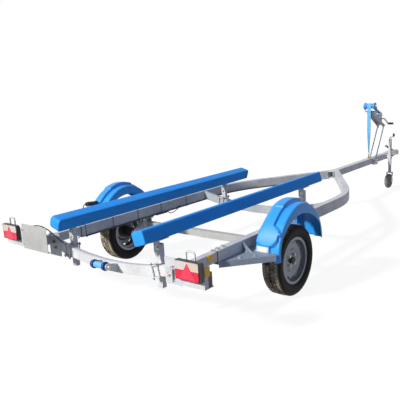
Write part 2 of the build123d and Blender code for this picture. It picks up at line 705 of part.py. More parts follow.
def rim():
    """A pressed steel wheel: a drop-centre barrel and a crowned disc with a ring of slots."""
    half = RIM_WIDTH / 2
    seat = RIM_SEAT_RADIUS
    well = seat - RIM_WELL_DEPTH
    wall = RIM_WALL
    lag = wall / 2
    rear_seat = -half + RIM_SEAT_WIDTH
    rear_well = rear_seat + RIM_WELL_SLOPE
    barrel = [(RIM_FLANGE_RADIUS, -half), (RIM_FLANGE_RADIUS, -half + wall), (seat, -half + wall),
              (seat, rear_seat), (well, rear_well), (well, 0), (seat, RIM_FRONT_SLOPE), (seat, half - wall),
              (RIM_FLANGE_RADIUS, half - wall), (RIM_FLANGE_RADIUS, half), (seat - wall, half),
              (seat - wall, RIM_FRONT_SLOPE + lag), (well - wall, lag), (well - wall, rear_well - lag),
              (seat - wall, rear_seat - lag), (seat - wall, -half)]
    face = DISC_OFFSET
    hole = HUB_CAP_RADIUS + DISC_HOLE_GAP
    crown_in = DISC_CROWN_RADIUS - DISC_CROWN_WIDTH / 2
    crown_out = DISC_CROWN_RADIUS + DISC_CROWN_WIDTH / 2
    crest = face + DISC_CROWN_RISE
    edge = face + DISC_EDGE_RISE
    root = seat - wall / 2
    disc = [(hole, face), (DISC_FLAT_RADIUS, face), (crown_in, crest), (crown_out, crest), (root, edge),
            (root, edge + DISC_EDGE_WALL), (crown_out, crest + DISC_WALL), (crown_in, crest + DISC_WALL),
            (DISC_FLAT_RADIUS, face + DISC_WALL), (hole, face + DISC_WALL)]
    wheel = revolve(polygon(barrel, Plane.XY), Axis.Y) + revolve(polygon(disc, Plane.XY), Axis.Y)
    slot = extrude(Plane.XZ * SlotOverall(DISC_SLOT_LENGTH, DISC_SLOT_HEIGHT), 2 * RIM_WIDTH, both=True)
    slot_radius = (crown_out + root) / 2
    for index in range(DISC_SLOTS):
        turn = Rot(0, 360.0 * index / DISC_SLOTS, 0)
        wheel = wheel - turn * Pos(0, 0, slot_radius) * slot
    return Pos(0, WHEEL_Y, AXLE_Z) * wheel


def tyre():
    """A hollow radial tyre: bead, bulging sidewall in a few straight runs, shoulder and tread."""
    bead = RIM_SEAT_RADIUS + SEAT_CLEARANCE
    foot = RIM_WIDTH / 2 - RIM_WALL - SEAT_CLEARANCE
    widest = TYRE_WIDTH / 2
    tread = TREAD_WIDTH / 2
    shoulder = TYRE_RADIUS - SHOULDER_DROP
    wide_radius = (RIM_FLANGE_RADIUS + TYRE_RADIUS) / 2
    lift = RIM_FLANGE_RADIUS + BEAD_LIFT
    sidewall = ThreePointArc((lift, foot), (wide_radius, widest), (shoulder, tread + SHOULDER_REACH))
    liner = ThreePointArc((shoulder - TYRE_WALL, tread), (wide_radius, widest - TYRE_WALL),
                          (bead, foot - BEAD_FOOT))
    outside = [(bead, foot), *chords(sidewall, SIDEWALL_RUNS), (TYRE_RADIUS, tread)]
    inside = chords(liner, LINER_RUNS)
    outline = outside + [(radius, -y) for radius, y in reversed(outside)]
    outline += [(radius, -y) for radius, y in reversed(inside)] + inside
    return turned(polygon(outline, Plane.XY), 0, WHEEL_Y, AXLE_Z)


for name, side in SIDES.items():
    keep(f"hub_{name}", on_side(side, hub()))
    keep(f"rim_{name}", on_side(side, rim()))
    keep(f"tyre_{name}", on_side(side, tyre()))

# Mudguards
GUARD_Y = WHEEL_Y + GUARD_OUTBOARD
GUARD_INNER_Y = GUARD_Y - GUARD_WIDTH / 2
GUARD_OUTER_Y = GUARD_Y + GUARD_WIDTH / 2
SKIRT_RADIUS = TYRE_RADIUS + GUARD_SKIRT_GAP

# The moulding's levels round its arc. Columns: from and to, in degrees up from the rear end, then the
# heights of the wide crown and of the narrow strip beside it above the guard's own radius
GUARD_FORMS = [
    (0, 17, 3, -9),
    (17, 40, 12, 12),
    (40, 68, 12, 0),
    (68, 112, 19, 0),
    (112, 180, 12, 0),
]
GUARD_LABEL_RADIUS = GUARD_RADIUS + GUARD_FORMS[0][2]


def guard_form(degrees_from, degrees_to, crown, strip, inset):
    """A sector of the guard's outer form, or of its inside when it is inset by the wall.

    The profile is (radius, distance along Y); the narrow strip lies at the negative end.
    """
    half = GUARD_WIDTH / 2 - inset
    step = -GUARD_WIDTH / 2 + GUARD_STRIP_WIDTH
    crown_radius = GUARD_RADIUS + crown - inset
    strip_radius = GUARD_RADIUS + strip - inset
    profile = [(0, -half), (strip_radius - GUARD_EDGE_ROUND, -half),
               (strip_radius, -half + GUARD_EDGE_ROUND),
               (strip_radius, step + inset), (crown_radius, step + inset + GUARD_STEP_SLOPE),
               (crown_radius, half - GUARD_EDGE_ROUND), (crown_radius - GUARD_EDGE_ROUND, half), (0, half)]
    sector = revolve(polygon(profile, Plane.XY), Axis.Y, degrees_to - degrees_from)
    return Rot(0, -180 + degrees_from, 0) * sector


def mudguard(side):
    """A moulded arch: label panel, rear bulge, stepped crown with a pad, and a skirt on each side."""
    outer, hollow = None, None
    lag = degrees(GUARD_WALL / GUARD_RADIUS)
    last = len(GUARD_FORMS) - 1
    for index, (start, end, crown, strip) in enumerate(GUARD_FORMS):
        form = guard_form(start, end, crown, strip, 0)
        outer = form if outer is None else outer + form
        rises_before = index > 0 and crown > GUARD_FORMS[index - 1][2]
        rises_after = index < last and GUARD_FORMS[index + 1][2] > crown
        inner_start = start + (lag if rises_before else -lag)
        inner_end = end + (lag if rises_after else -lag)
        inside = guard_form(inner_start if index else start - lag, inner_end if index < last else end + lag,
                            crown, strip, GUARD_WALL)
        hollow = inside if hollow is None else hollow + inside
    guard = Pos(0, side * GUARD_Y, GUARD_CENTRE_Z) * (outer - hollow)
    arch = Pos(0, side * GUARD_Y, AXLE_Z) * Rot(90, 0, 0) * Cylinder(SKIRT_RADIUS, GUARD_WIDTH * 2)
    lowest = min(strip for _, _, _, strip in GUARD_FORMS)
    core_radius = GUARD_RADIUS + lowest - GUARD_WALL - GUARD_EDGE_ROUND
    core = Pos(0, side * GUARD_Y, GUARD_CENTRE_Z) * Rot(90, 0, 0) * Cylinder(core_radius, GUARD_WIDTH * 2)
    return guard - (arch & core)


GUARD_REAR_X = -sqrt(GUARD_LABEL_RADIUS ** 2 - (WING_Z - WING_WALL - GUARD_CENTRE_Z) ** 2) - WING_GAP
WING_LIP_END_X = GUARD_REAR_X - WING_LIP_LEAD


def wing_plate():
    """A folded plate from the rail's rear end out to the mudguard, with a lip and a gusset."""
    root = RAIL_OUTER_Y
    plate = flat_plate([(RAIL_REAR, root), (WING_LIP_END_X, GUARD_OUTER_Y), (GUARD_REAR_X, GUARD_OUTER_Y),
                        (GUARD_REAR_X, GUARD_INNER_Y), (WING_INNER_END, root + WING_INNER_REACH),
                        (WING_INNER_END, root)], WING_Z - WING_WALL, WING_Z)
    dx = WING_LIP_END_X - RAIL_REAR
    dy = GUARD_OUTER_Y - root
    run = hypot(dx, dy)
    off_x = dy / run * WING_WALL
    off_y = dx / run * WING_WALL
    lip = flat_plate([(RAIL_REAR, root), (WING_LIP_END_X, GUARD_OUTER_Y),
                      (WING_LIP_END_X + off_x, GUARD_OUTER_Y - off_y), (RAIL_REAR + off_x, root)],
                     WING_Z - WING_LIP, WING_Z - WING_WALL)
    gusset = cross_plate([(root, WING_Z), (root + GUSSET_REACH, WING_Z), (root, WING_Z + GUSSET_RISE)],
                         GUSSET_X, GUSSET_X + WING_WALL)
    return plate + lip + gusset


def guard_bracket():
    """An angle from the rail to the front of the mudguard's inner skirt."""
    x0 = GUARD_BRACKET_X - GUARD_BRACKET_WIDTH / 2
    x1 = GUARD_BRACKET_X + GUARD_BRACKET_WIDTH / 2
    wall = GUARD_BRACKET_WALL
    arm = block(x0, x1, RAIL_OUTER_Y, GUARD_INNER_Y, GUARD_BRACKET_Z, GUARD_BRACKET_Z + wall)
    cheek = block(x0, x1, GUARD_INNER_Y - wall, GUARD_INNER_Y, GUARD_BRACKET_Z,
                  GUARD_BRACKET_Z + GUARD_BRACKET_RISE)
    return arm + cheek


for name, side in SIDES.items():
    keep(f"mudguard_{name}", mudguard(side))
    keep(f"wing_plate_{name}", on_side(side, wing_plate()))
keep("guard_brackets", *[on_side(side, guard_bracket()) for side in SIDES.values()])

# Rear lamps
LAMP_INNER_Y = LEG_OUTER_Y + LAMP_STANDOFF
LAMP_OUTER_Y = LAMP_INNER_Y + LAMP_WIDTH
LAMP_Y = (LAMP_INNER_Y + LAMP_OUTER_Y) / 2
LAMP_Z = LAMP_BOTTOM + LAMP_HEIGHT / 2
LAMP_TOP = LAMP_BOTTOM + LAMP_HEIGHT
LAMP_PLATE_TOP = LAMP_TOP - LAMP_PLATE_DROP


def lamp_slab(x0, x1, shrink):
    section = RectangleRounded(LAMP_WIDTH - 2 * shrink, LAMP_HEIGHT - 2 * shrink, LAMP_ROUND)
    return Pos(x0, LAMP_Y, LAMP_Z) * extrude(Plane.YZ * section, x1 - x0)


def lamp_plate(inset):
    """A folded bracket: a foot on the leg's side, a shelf, the lamp's plate and an end flange."""
    x = LAMP_PLATE_X
    wall = LAMP_PLATE_WALL
    z0 = LAMP_BOTTOM - LAMP_PLATE_BELOW
    inner = LAMP_INNER_Y - inset
    rear = LEG_REAR + LAMP_FOOT_START
    front = x + LAMP_SHELF_LENGTH
    back = block(LAMP_BACK_X, x, inner, LAMP_OUTER_Y, z0, LAMP_PLATE_TOP)
    shelf = flat_plate([(x, inner), (rear, LEG_OUTER_Y), (front, LEG_OUTER_Y), (front, LAMP_OUTER_Y),
                        (x, LAMP_OUTER_Y)], z0, z0 + wall)
    foot = block(rear, front, LEG_OUTER_Y, LEG_OUTER_Y + wall, z0, LEG_TOP - wall)
    flange = block(x, x + LAMP_FLANGE, LAMP_OUTER_Y - wall, LAMP_OUTER_Y,
                   z0, LAMP_PLATE_TOP - LAMP_FLANGE_DROP)
    return back + shelf + foot + flange


def lamp_handle():
    """A bent rod welded to the front of the lamp plate."""
    y0 = LAMP_Y - HANDLE_WIDTH / 2
    y1 = LAMP_Y + HANDLE_WIDTH / 2
    x = LAMP_PLATE_X
    z0 = LAMP_PLATE_TOP - HANDLE_WELD
    z1 = LAMP_PLATE_TOP + HANDLE_RISE
    path = FilletPolyline((x, y0, z0), (x, y0, z1), (x, y1, z1), (x, y1, z0), radius=HANDLE_BEND)
    return sweep(Plane(origin=(x, y0, z0), z_dir=(0, 0, 1)) * Circle(HANDLE_RADIUS), path)


def side_marker():
    x0 = LAMP_PLATE_X + LAMP_FLANGE
    z0 = LAMP_BOTTOM - LAMP_PLATE_BELOW + LAMP_PLATE_WALL
    return block(x0, x0 + MARKER_LENGTH, LAMP_OUTER_Y - MARKER_WIDTH, LAMP_OUTER_Y, z0, z0 + MARKER_HEIGHT)


def marker_lens():
    z0 = LAMP_BOTTOM + AMBER_RISE
    return block(LAMP_PLATE_X, LAMP_PLATE_X + AMBER_LENGTH, LAMP_OUTER_Y, LAMP_OUTER_Y + AMBER_WALL,
                 z0, z0 + AMBER_HEIGHT)


def reflector():
    z1 = LEG_TOP - REFLECTOR_DROP
    return block(REFLECTOR_X - REFLECTOR_LENGTH / 2, REFLECTOR_X + REFLECTOR_LENGTH / 2,
                 LEG_OUTER_Y, LEG_OUTER_Y + REFLECTOR_WALL, z1 - REFLECTOR_HEIGHT, z1)


for name, side in SIDES.items():
    inset = CARRIER_PLATE_INSET if name == "left" else LAMP_PLATE_INSET
    keep(f"lamp_plate_{name}", on_side(side, lamp_plate(inset) + lamp_handle()))
    keep(f"lamp_housing_{name}", on_side(side, lamp_slab(LAMP_BACK_X - HOUSING_DEPTH, LAMP_BACK_X, 0)))
    keep(f"lamp_lens_{name}", on_side(side, lamp_slab(REAR_END, REAR_END + LENS_DEPTH, LENS_INSET)))
keep("side_markers", *[on_side(side, side_marker()) for side in SIDES.values()])
ambers = [on_side(side, piece()) for side in SIDES.values() for piece in (marker_lens, reflector)]
keep("amber_reflectors", *ambers)


def plate_carrier():
    """A blank folded plate on the left lamp's bracket, drilled for a number plate."""
    y1 = LAMP_INNER_Y - PLATE_LAMP_GAP
    y0 = y1 - PLATE_WIDTH
    z1 = PLATE_BOTTOM + PLATE_HEIGHT
    carrier = block(LAMP_BACK_X - PLATE_WALL, LAMP_BACK_X, y0, y1, PLATE_BOTTOM, z1)
    flange = block(LAMP_BACK_X, LAMP_BACK_X + PLATE_FLANGE, y0, y1 - PLATE_FLANGE_SHORT,
                   PLATE_BOTTOM, PLATE_BOTTOM + PLATE_WALL)
    carrier = carrier + flange
    for offset in (-PLATE_HOLE_SPACING / 2, PLATE_HOLE_SPACING / 2):
        hole = Rot(0, 90, 0) * Cylinder(PLATE_HOLE_RADIUS, PLATE_WALL * 4)
        carrier = carrier - Pos(LAMP_BACK_X, (y0 + y1) / 2 + offset, z1 - PLATE_HEIGHT / 4) * hole
    return carrier


keep("plate_carrier", plate_carrier())


# Rollers: a bobbin with a straight waist and flared ends, free on its pin
def bobbin(length, radius, waist, flange, pin):
    half = length / 2
    flat = half - flange
    points = [(pin, -half), (radius, -half), (radius, -half + flange / 2), (waist, -flat),
              (waist, flat), (radius, half - flange / 2), (radius, half), (pin, half)]
    return revolve(polygon(points, Plane.XY), Axis.Y)


KEEL_X = REAR_CROSS_X - KEEL_BEHIND
keel = bobbin(KEEL_ROLLER_LENGTH, KEEL_ROLLER_RADIUS, KEEL_ROLLER_WAIST, KEEL_FLANGE,
              KEEL_PIN_RADIUS + RUNNING_CLEARANCE)
keep("keel_roller", Pos(KEEL_X, 0, KEEL_PIN_Z) * keel)


def keel_ears():
    """Two ears on the crossmember's rear face with the roller's pin between them."""
    inner = KEEL_ROLLER_LENGTH / 2 + KEEL_SIDE_GAP
    outer = inner + KEEL_EAR_WALL
    pin_end = outer + KEEL_PIN_END
    ears = rod_y(KEEL_X, KEEL_PIN_Z, -pin_end, pin_end, KEEL_PIN_RADIUS)
    foot_top = cross_top(inner) - KEEL_FOOT_INSET
    foot_bottom = cross_bottom(outer) + KEEL_FOOT_INSET
    for y0, y1 in ((inner, outer), (-outer, -inner)):
        eye = rod_y(KEEL_X, KEEL_PIN_Z, y0, y1, KEEL_EAR_RADIUS)
        tail = side_plate([(KEEL_X, KEEL_PIN_Z + KEEL_EAR_RADIUS), (REAR_CROSS_X, foot_top),
                           (REAR_CROSS_X, foot_bottom), (KEEL_X, KEEL_PIN_Z - KEEL_EAR_RADIUS)], y0, y1)
        ears = ears + eye + tail
    return ears


keep("keel_roller_ears", keel_ears())


# Winch post: two flat bars up from the drawbar, and a channel back to the bow roller
def along(start, end, solid):
    """Lay a piece drawn along +X, with its top at +Z, on the line between two (x, z) points."""
    run = hypot(end[0] - start[0], end[1] - start[1])
    d = ((end[0] - start[0]) / run, (end[1] - start[1]) / run)
    up = (d[1], -d[0]) if d[0] < 0 else (-d[1], d[0])
    plane = Plane(origin=(start[0], 0, start[1]), x_dir=(d[0], 0, d[1]), z_dir=(up[0], 0, up[1]))
    return plane.location * solid


FOOT = (POST_FOOT_X, POST_FOOT_Z)
HEAD = (POST_HEAD_X, POST_HEAD_Z)
ARM_TOP = (WINCH_ARM_HEAD_X, WINCH_ARM_HEAD_Z)
POST_LENGTH = hypot(HEAD[0] - FOOT[0], HEAD[1] - FOOT[1])
ARM_LENGTH = hypot(ARM_TOP[0] - HEAD[0], ARM_TOP[1] - HEAD[1])
ARM_DIRECTION = ((ARM_TOP[0] - HEAD[0]) / ARM_LENGTH, (ARM_TOP[1] - HEAD[1]) / ARM_LENGTH)
ARM_UP = (ARM_DIRECTION[1], -ARM_DIRECTION[0])
BAR_OUTER_Y = DRAWBAR_HALF + POST_BAR_WALL

bars = []
for side in SIDES.values():
    bar = block(-POST_BAR_WIDTH / 2, POST_LENGTH, DRAWBAR_HALF, BAR_OUTER_Y,
                -POST_BAR_WIDTH / 2, POST_BAR_WIDTH / 2)
    bars.append(on_side(side, along(FOOT, HEAD, bar)))
keep("winch_post", *bars)

arm = block(-WINCH_ARM_TAIL, ARM_LENGTH, -DRAWBAR_HALF, DRAWBAR_HALF, -WINCH_ARM_FLANGE, 0)
inside = DRAWBAR_HALF - WINCH_ARM_WALL
arm = arm - block(-WINCH_ARM_TAIL - CUT_OVER, ARM_LENGTH + CUT_OVER, -inside, inside,
                  -WINCH_ARM_FLANGE - CUT_OVER, -WINCH_ARM_WALL)


def bow_yoke():
    """A strip across the arm's head with an ear at each end, and the roller's pin."""
    inner = BOW_ROLLER_LENGTH / 2 + BOW_SIDE_GAP
    outer = inner + BOW_EAR_WALL
    pin_end = outer + BOW_PIN_END
    strip_x = ARM_LENGTH - 2 * BOW_EAR_RADIUS
    yoke = along(HEAD, ARM_TOP, block(strip_x, ARM_LENGTH, -outer, outer, 0, BOW_EAR_WALL))
    yoke = yoke + rod_y(BOW_ROLLER_X, BOW_ROLLER_Z, -pin_end, pin_end, BOW_PIN_RADIUS)
    reach = 2 * BOW_EAR_RADIUS
    low = (ARM_TOP[0] - ARM_DIRECTION[0] * reach, ARM_TOP[1] - ARM_DIRECTION[1] * reach)
    for y0, y1 in ((inner, outer), (-outer, -inner)):
        eye = rod_y(BOW_ROLLER_X, BOW_ROLLER_Z, y0, y1, BOW_EAR_RADIUS)
        ear = side_plate([low, ARM_TOP, (BOW_ROLLER_X - BOW_EAR_RADIUS, BOW_ROLLER_Z),
                          (BOW_ROLLER_X + BOW_EAR_RADIUS, BOW_ROLLER_Z)], y0, y1)
        yoke = yoke + eye + ear
    return yoke


keep("winch_arm", along(HEAD, ARM_TOP, arm))
keep("bow_roller_yoke", bow_yoke())
bow = bobbin(BOW_ROLLER_LENGTH, BOW_ROLLER_RADIUS, BOW_ROLLER_WAIST, BOW_FLANGE,
             BOW_PIN_RADIUS + RUNNING_CLEARANCE)
keep("bow_roller", Pos(BOW_ROLLER_X, 0, BOW_ROLLER_Z) * bow)


def post_clamp_plates():
    """Side plates and two bolts under the drawbar that hold the post."""
    x0 = POST_FOOT_X - POST_CLAMP_LENGTH / 2
    x1 = POST_FOOT_X + POST_CLAMP_LENGTH / 2
    z0 = DRAWBAR_BOTTOM - POST_CLAMP_BELOW
    outer = BAR_OUTER_Y + POST_CLAMP_WALL
    clamp = block(x0, x1, BAR_OUTER_Y, outer, z0, RAIL_TOP)
    clamp = clamp + block(x0, x1, -outer, -BAR_OUTER_Y, z0, RAIL_TOP)
    bolt_z = DRAWBAR_BOTTOM - POST_CLAMP_BOLT_RADIUS - CLAMP_SLACK
    bolt_end = outer + POST_CLAMP_BOLT_END
    for bolt_x in (x0 + POST_CLAMP_BOLT_INSET, x1 - POST_CLAMP_BOLT_INSET):
        clamp = clamp + rod_y(bolt_x, bolt_z, -bolt_end, bolt_end, POST_CLAMP_BOLT_RADIUS)
    return clamp


keep("winch_post_clamp", post_clamp_plates())

# Winch on the arm's upper face: two side plates, the drum with its wound strap, a crank
WINCH_BASE = (HEAD[0] + WINCH_SHARE * (ARM_TOP[0] - HEAD[0]),
              HEAD[1] + WINCH_SHARE * (ARM_TOP[1] - HEAD[1]))
DRUM_CENTRE = (WINCH_BASE[0] + ARM_UP[0] * DRUM_RISE, WINCH_BASE[1] + ARM_UP[1] * DRUM_RISE)
WINCH_INNER_Y = WINCH_INNER_WIDTH / 2
WINCH_OUTER_Y = WINCH_INNER_Y + WINCH_PLATE
GEAR_OUTER_Y = -WINCH_INNER_Y + DRUM_END_GAP
GEAR_INNER_Y = GEAR_OUTER_Y + GEAR_WALL
MESH_DISTANCE = GEAR_MODULE * (GEAR_TEETH + PINION_TEETH) / 2 + GEAR_SLACK
PINION_BACK = MESH_DISTANCE * cos(radians(PINION_BELOW))
PINION_DROP = MESH_DISTANCE * sin(radians(PINION_BELOW))
PINION_CENTRE = (DRUM_CENTRE[0] - ARM_DIRECTION[0] * PINION_BACK - ARM_UP[0] * PINION_DROP,
                 DRUM_CENTRE[1] - ARM_DIRECTION[1] * PINION_BACK - ARM_UP[1] * PINION_DROP)


def gear(teeth, centre, towards, tooth_first):
    """A spur gear with straight flanks; a tooth, or else a gap, faces the point it runs against."""
    pitch = GEAR_MODULE * teeth / 2
    step = radians(360 / teeth)
    tip = pitch + TOOTH_ADDENDUM * GEAR_MODULE
    root = pitch - TOOTH_DEDENDUM * GEAR_MODULE
    first = atan2(towards[1] - centre[1], towards[0] - centre[0]) + (0 if tooth_first else step / 2)
    outline = []
    for index in range(teeth):
        middle = first + index * step
        for radius, share in ((root, -TOOTH_ROOT_SHARE), (tip, -TOOTH_TIP_SHARE),
                              (tip, TOOTH_TIP_SHARE), (root, TOOTH_ROOT_SHARE)):
            angle = middle + share * step
            outline.append((centre[0] + radius * cos(angle), centre[1] + radius * sin(angle)))
    return side_plate(outline, GEAR_OUTER_Y, GEAR_INNER_Y)


def winch_frame():
    """A base plate with two tapering cheeks, bored for the drum and the crank shaft."""
    start = (WINCH_BASE[0] - ARM_DIRECTION[0] * WINCH_LENGTH / 2,
             WINCH_BASE[1] - ARM_DIRECTION[1] * WINCH_LENGTH / 2)
    frame = block(0, WINCH_LENGTH, -WINCH_OUTER_Y, WINCH_OUTER_Y, 0, WINCH_PLATE)
    taper = (WINCH_LENGTH - WINCH_TOP_LENGTH) / 2
    cheek = [(0, 0), (WINCH_LENGTH, 0), (WINCH_LENGTH - taper, WINCH_RISE), (taper, WINCH_RISE)]
    for y0, y1 in ((WINCH_INNER_Y, WINCH_OUTER_Y), (-WINCH_OUTER_Y, -WINCH_INNER_Y)):
        frame = frame + side_plate(cheek, y0, y1)
    frame = along(start, ARM_TOP, frame)
    ends = WINCH_OUTER_Y + CUT_OVER
    for centre, radius in ((DRUM_CENTRE, DRUM_RADIUS / 2), (PINION_CENTRE, WINCH_SHAFT_RADIUS)):
        frame = frame - rod_y(*centre, -ends, ends, radius + SHAFT_SLACK)
    return frame


def winch_drum():
    """The drum on its shaft, with the large gear beside the strap."""
    drum = rod_y(*DRUM_CENTRE, -WINCH_OUTER_Y, WINCH_OUTER_Y, DRUM_RADIUS / 2)
    drum_end = WINCH_INNER_Y - DRUM_END_GAP
    drum = drum + rod_y(*DRUM_CENTRE, -drum_end, drum_end, DRUM_RADIUS)
    return drum + gear(GEAR_TEETH, DRUM_CENTRE, PINION_CENTRE, True)


def strap_spool():
    spool = rod_y(*DRUM_CENTRE, -STRAP_WIDTH / 2, STRAP_WIDTH / 2, SPOOL_RADIUS)
    return spool - rod_y(*DRUM_CENTRE, -STRAP_WIDTH, STRAP_WIDTH, DRUM_RADIUS + SEAT_CLEARANCE)


def winch_crank():
    """A shaft with the pinion on it, and outside the right cheek a flat lever with a grip."""
    y0 = -WINCH_OUTER_Y - WINCH_SHAFT_OUT
    crank = rod_y(*PINION_CENTRE, y0, WINCH_OUTER_Y, WINCH_SHAFT_RADIUS)
    crank = crank + gear(PINION_TEETH, PINION_CENTRE, DRUM_CENTRE, False)
    lever = side_plate([(0, -CRANK_WIDTH / 2), (CRANK_LENGTH, -CRANK_WIDTH / 2),
                        (CRANK_LENGTH, CRANK_WIDTH / 2), (0, CRANK_WIDTH / 2)], y0 - CRANK_WALL, y0)
    end = (PINION_CENTRE[0] - ARM_DIRECTION[0] * CRANK_LENGTH,
           PINION_CENTRE[1] - ARM_DIRECTION[1] * CRANK_LENGTH)
    crank = crank + along(PINION_CENTRE, end, lever)
    return crank + rod_y(*end, y0 - CRANK_WALL - GRIP_LENGTH, y0, GRIP_RADIUS)


keep("winch_frame", winch_frame())
keep("winch_drum", winch_drum())
keep("winch_crank", winch_crank())


STRAP_X = BOW_ROLLER_X - BOW_ROLLER_WAIST - STRAP_GAP
STRAP_END_Z = RAIL_TOP + EYE_HEIGHT + STRAP_GAP


def strap():
    """Webbing from the spool over the bow roller and straight down to the eye on the drawbar."""
    waist = BOW_ROLLER_WAIST + STRAP_GAP
    drop_x = STRAP_X
    dx, dz = DRUM_CENTRE[0] - BOW_ROLLER_X, DRUM_CENTRE[1] - BOW_ROLLER_Z
    reach = hypot(dx, dz)
    lean = atan2(dz, dx) + asin((SPOOL_RADIUS - waist) / reach)
    outer_waist = waist + STRAP_WALL
    top_angle = lean + radians(90)

    def at(centre, radius, angle):
        return (centre[0] + radius * cos(angle), centre[1] + radius * sin(angle))

    bow_centre = (BOW_ROLLER_X, BOW_ROLLER_Z)
    mid_angle = (top_angle + radians(180)) / 2
    wound = SPOOL_RADIUS + SEAT_CLEARANCE
    spool_in = at(DRUM_CENTRE, wound, top_angle)
    spool_out = at(DRUM_CENTRE, wound + STRAP_WALL, top_angle)
    lines = [Line(spool_in, at(bow_centre, waist, top_angle)),
             ThreePointArc(at(bow_centre, waist, top_angle), at(bow_centre, waist, mid_angle),
                           (drop_x, BOW_ROLLER_Z)),
             Line((drop_x, BOW_ROLLER_Z), (drop_x, STRAP_END_Z)),
             Line((drop_x, STRAP_END_Z), (drop_x - STRAP_WALL, STRAP_END_Z)),
             Line((drop_x - STRAP_WALL, STRAP_END_Z), (drop_x - STRAP_WALL, BOW_ROLLER_Z)),
             ThreePointArc((drop_x - STRAP_WALL, BOW_ROLLER_Z), at(bow_centre, outer_waist, mid_angle),
                           at(bow_centre, outer_waist, top_angle)),
             Line(at(bow_centre, outer_waist, top_angle), spool_out),
             Line(spool_out, spool_in)]
    face = Plane.XZ * make_face(Wire(lines))
    return Pos(0, STRAP_WIDTH / 2, 0) * extrude(face, STRAP_WIDTH)


keep("winch_strap", strap(), strap_spool())


def strap_eye():
    """A footplate on the drawbar with an upright link under the strap's end."""
    x = STRAP_X - STRAP_WALL / 2
    half = EYE_WALL / 2
    eye_z = RAIL_TOP + EYE_HEIGHT - EYE_RADIUS
    foot = block(x - EYE_FOOT_LENGTH / 2, x + EYE_FOOT_LENGTH / 2, -EYE_FOOT_WIDTH / 2, EYE_FOOT_WIDTH / 2,
                 RAIL_TOP, RAIL_TOP + EYE_FOOT_WALL)
    shank = block(x - EYE_RADIUS, x + EYE_RADIUS, -half, half, RAIL_TOP, eye_z)
    head = rod_y(x, eye_z, -half, half, EYE_RADIUS)
    return foot + shank + head - rod_y(x, eye_z, -EYE_WALL, EYE_WALL, EYE_HOLE_RADIUS)


keep("strap_eye", strap_eye())

# Jockey wheel, clamped to the drawbar's right side
JOCKEY_Y = -DRAWBAR_HALF - JOCKEY_OUT
INNER_RADIUS = JOCKEY_TUBE_RADIUS - JOCKEY_TUBE_WALL - RUNNING_CLEARANCE
INNER_BOTTOM = JOCKEY_CROWN_Z + CLAMP_SLACK


def upright(z0, z1, radius):
    return Pos(JOCKEY_X, JOCKEY_Y, (z0 + z1) / 2) * Cylinder(radius, z1 - z0)


def jockey_outer():
    """The outer tube with a closed cap that carries the crank spindle."""
    bore_top = JOCKEY_TUBE_TOP - JOCKEY_CAP_WALL
    return upright(JOCKEY_TUBE_BOTTOM, JOCKEY_TUBE_TOP, JOCKEY_TUBE_RADIUS) - upright(
        JOCKEY_TUBE_BOTTOM - CUT_OVER, bore_top, JOCKEY_TUBE_RADIUS - JOCKEY_TUBE_WALL)


def jockey_inner():
    plug_top = INNER_BOTTOM + JOCKEY_PLUG
    tube = upright(INNER_BOTTOM, JOCKEY_INNER_TOP, INNER_RADIUS)
    tube = tube - upright(plug_top, JOCKEY_INNER_TOP + CUT_OVER, INNER_RADIUS - JOCKEY_INNER_WALL)
    king_bore = JOCKEY_KING_RADIUS + RUNNING_CLEARANCE
    return tube - upright(INNER_BOTTOM - CUT_OVER, plug_top + CUT_OVER, king_bore)


def jockey_clamp():
    """A split ring on a bridge plate bolted to the drawbar, with its clamping lever."""
    mid = RAIL_TOP - DRAWBAR_HALF
    z0, z1 = mid - CLAMP_RING_HEIGHT / 2, mid + CLAMP_RING_HEIGHT / 2
    outside = JOCKEY_TUBE_RADIUS + CLAMP_RING_WALL
    ring = upright(z0, z1, outside)
    half = CLAMP_BRIDGE_WIDTH / 2
    ring = ring + block(JOCKEY_X - half, JOCKEY_X + half, JOCKEY_Y, -DRAWBAR_HALF, z0, z1)
    flange = block(JOCKEY_X - CLAMP_FLANGE_LENGTH / 2, JOCKEY_X + CLAMP_FLANGE_LENGTH / 2,
                   -DRAWBAR_HALF - CLAMP_RING_WALL, -DRAWBAR_HALF, z0, z1)
    lever_x = JOCKEY_X + outside - CLAMP_LEVER_ROOT
    lever = Pos(lever_x + CLAMP_LEVER_LENGTH / 2, JOCKEY_Y, mid) * Rot(0, 90, 0) * Cylinder(
        CLAMP_LEVER_RADIUS, CLAMP_LEVER_LENGTH)
    return ring + flange + lever - upright(z0 - CUT_OVER, z1 + CUT_OVER, JOCKEY_TUBE_RADIUS)


def jockey_crank():
    """A spindle top, a bent arm towards the front and an upright knob."""
    z0 = JOCKEY_TUBE_TOP
    z1 = z0 + JOCKEY_CRANK_RISE
    crank = upright(z0, z1 + JOCKEY_CRANK_RADIUS, JOCKEY_CRANK_RADIUS)
    end_x = JOCKEY_X + JOCKEY_CRANK_REACH
    bar = Pos((JOCKEY_X + end_x) / 2, JOCKEY_Y, z1) * Rot(0, 90, 0) * Cylinder(
        JOCKEY_CRANK_RADIUS, JOCKEY_CRANK_REACH)
    knob = Pos(end_x, JOCKEY_Y, z1 + JOCKEY_KNOB_LENGTH / 2) * Cylinder(
        JOCKEY_KNOB_RADIUS, JOCKEY_KNOB_LENGTH)
    return crank + bar + knob


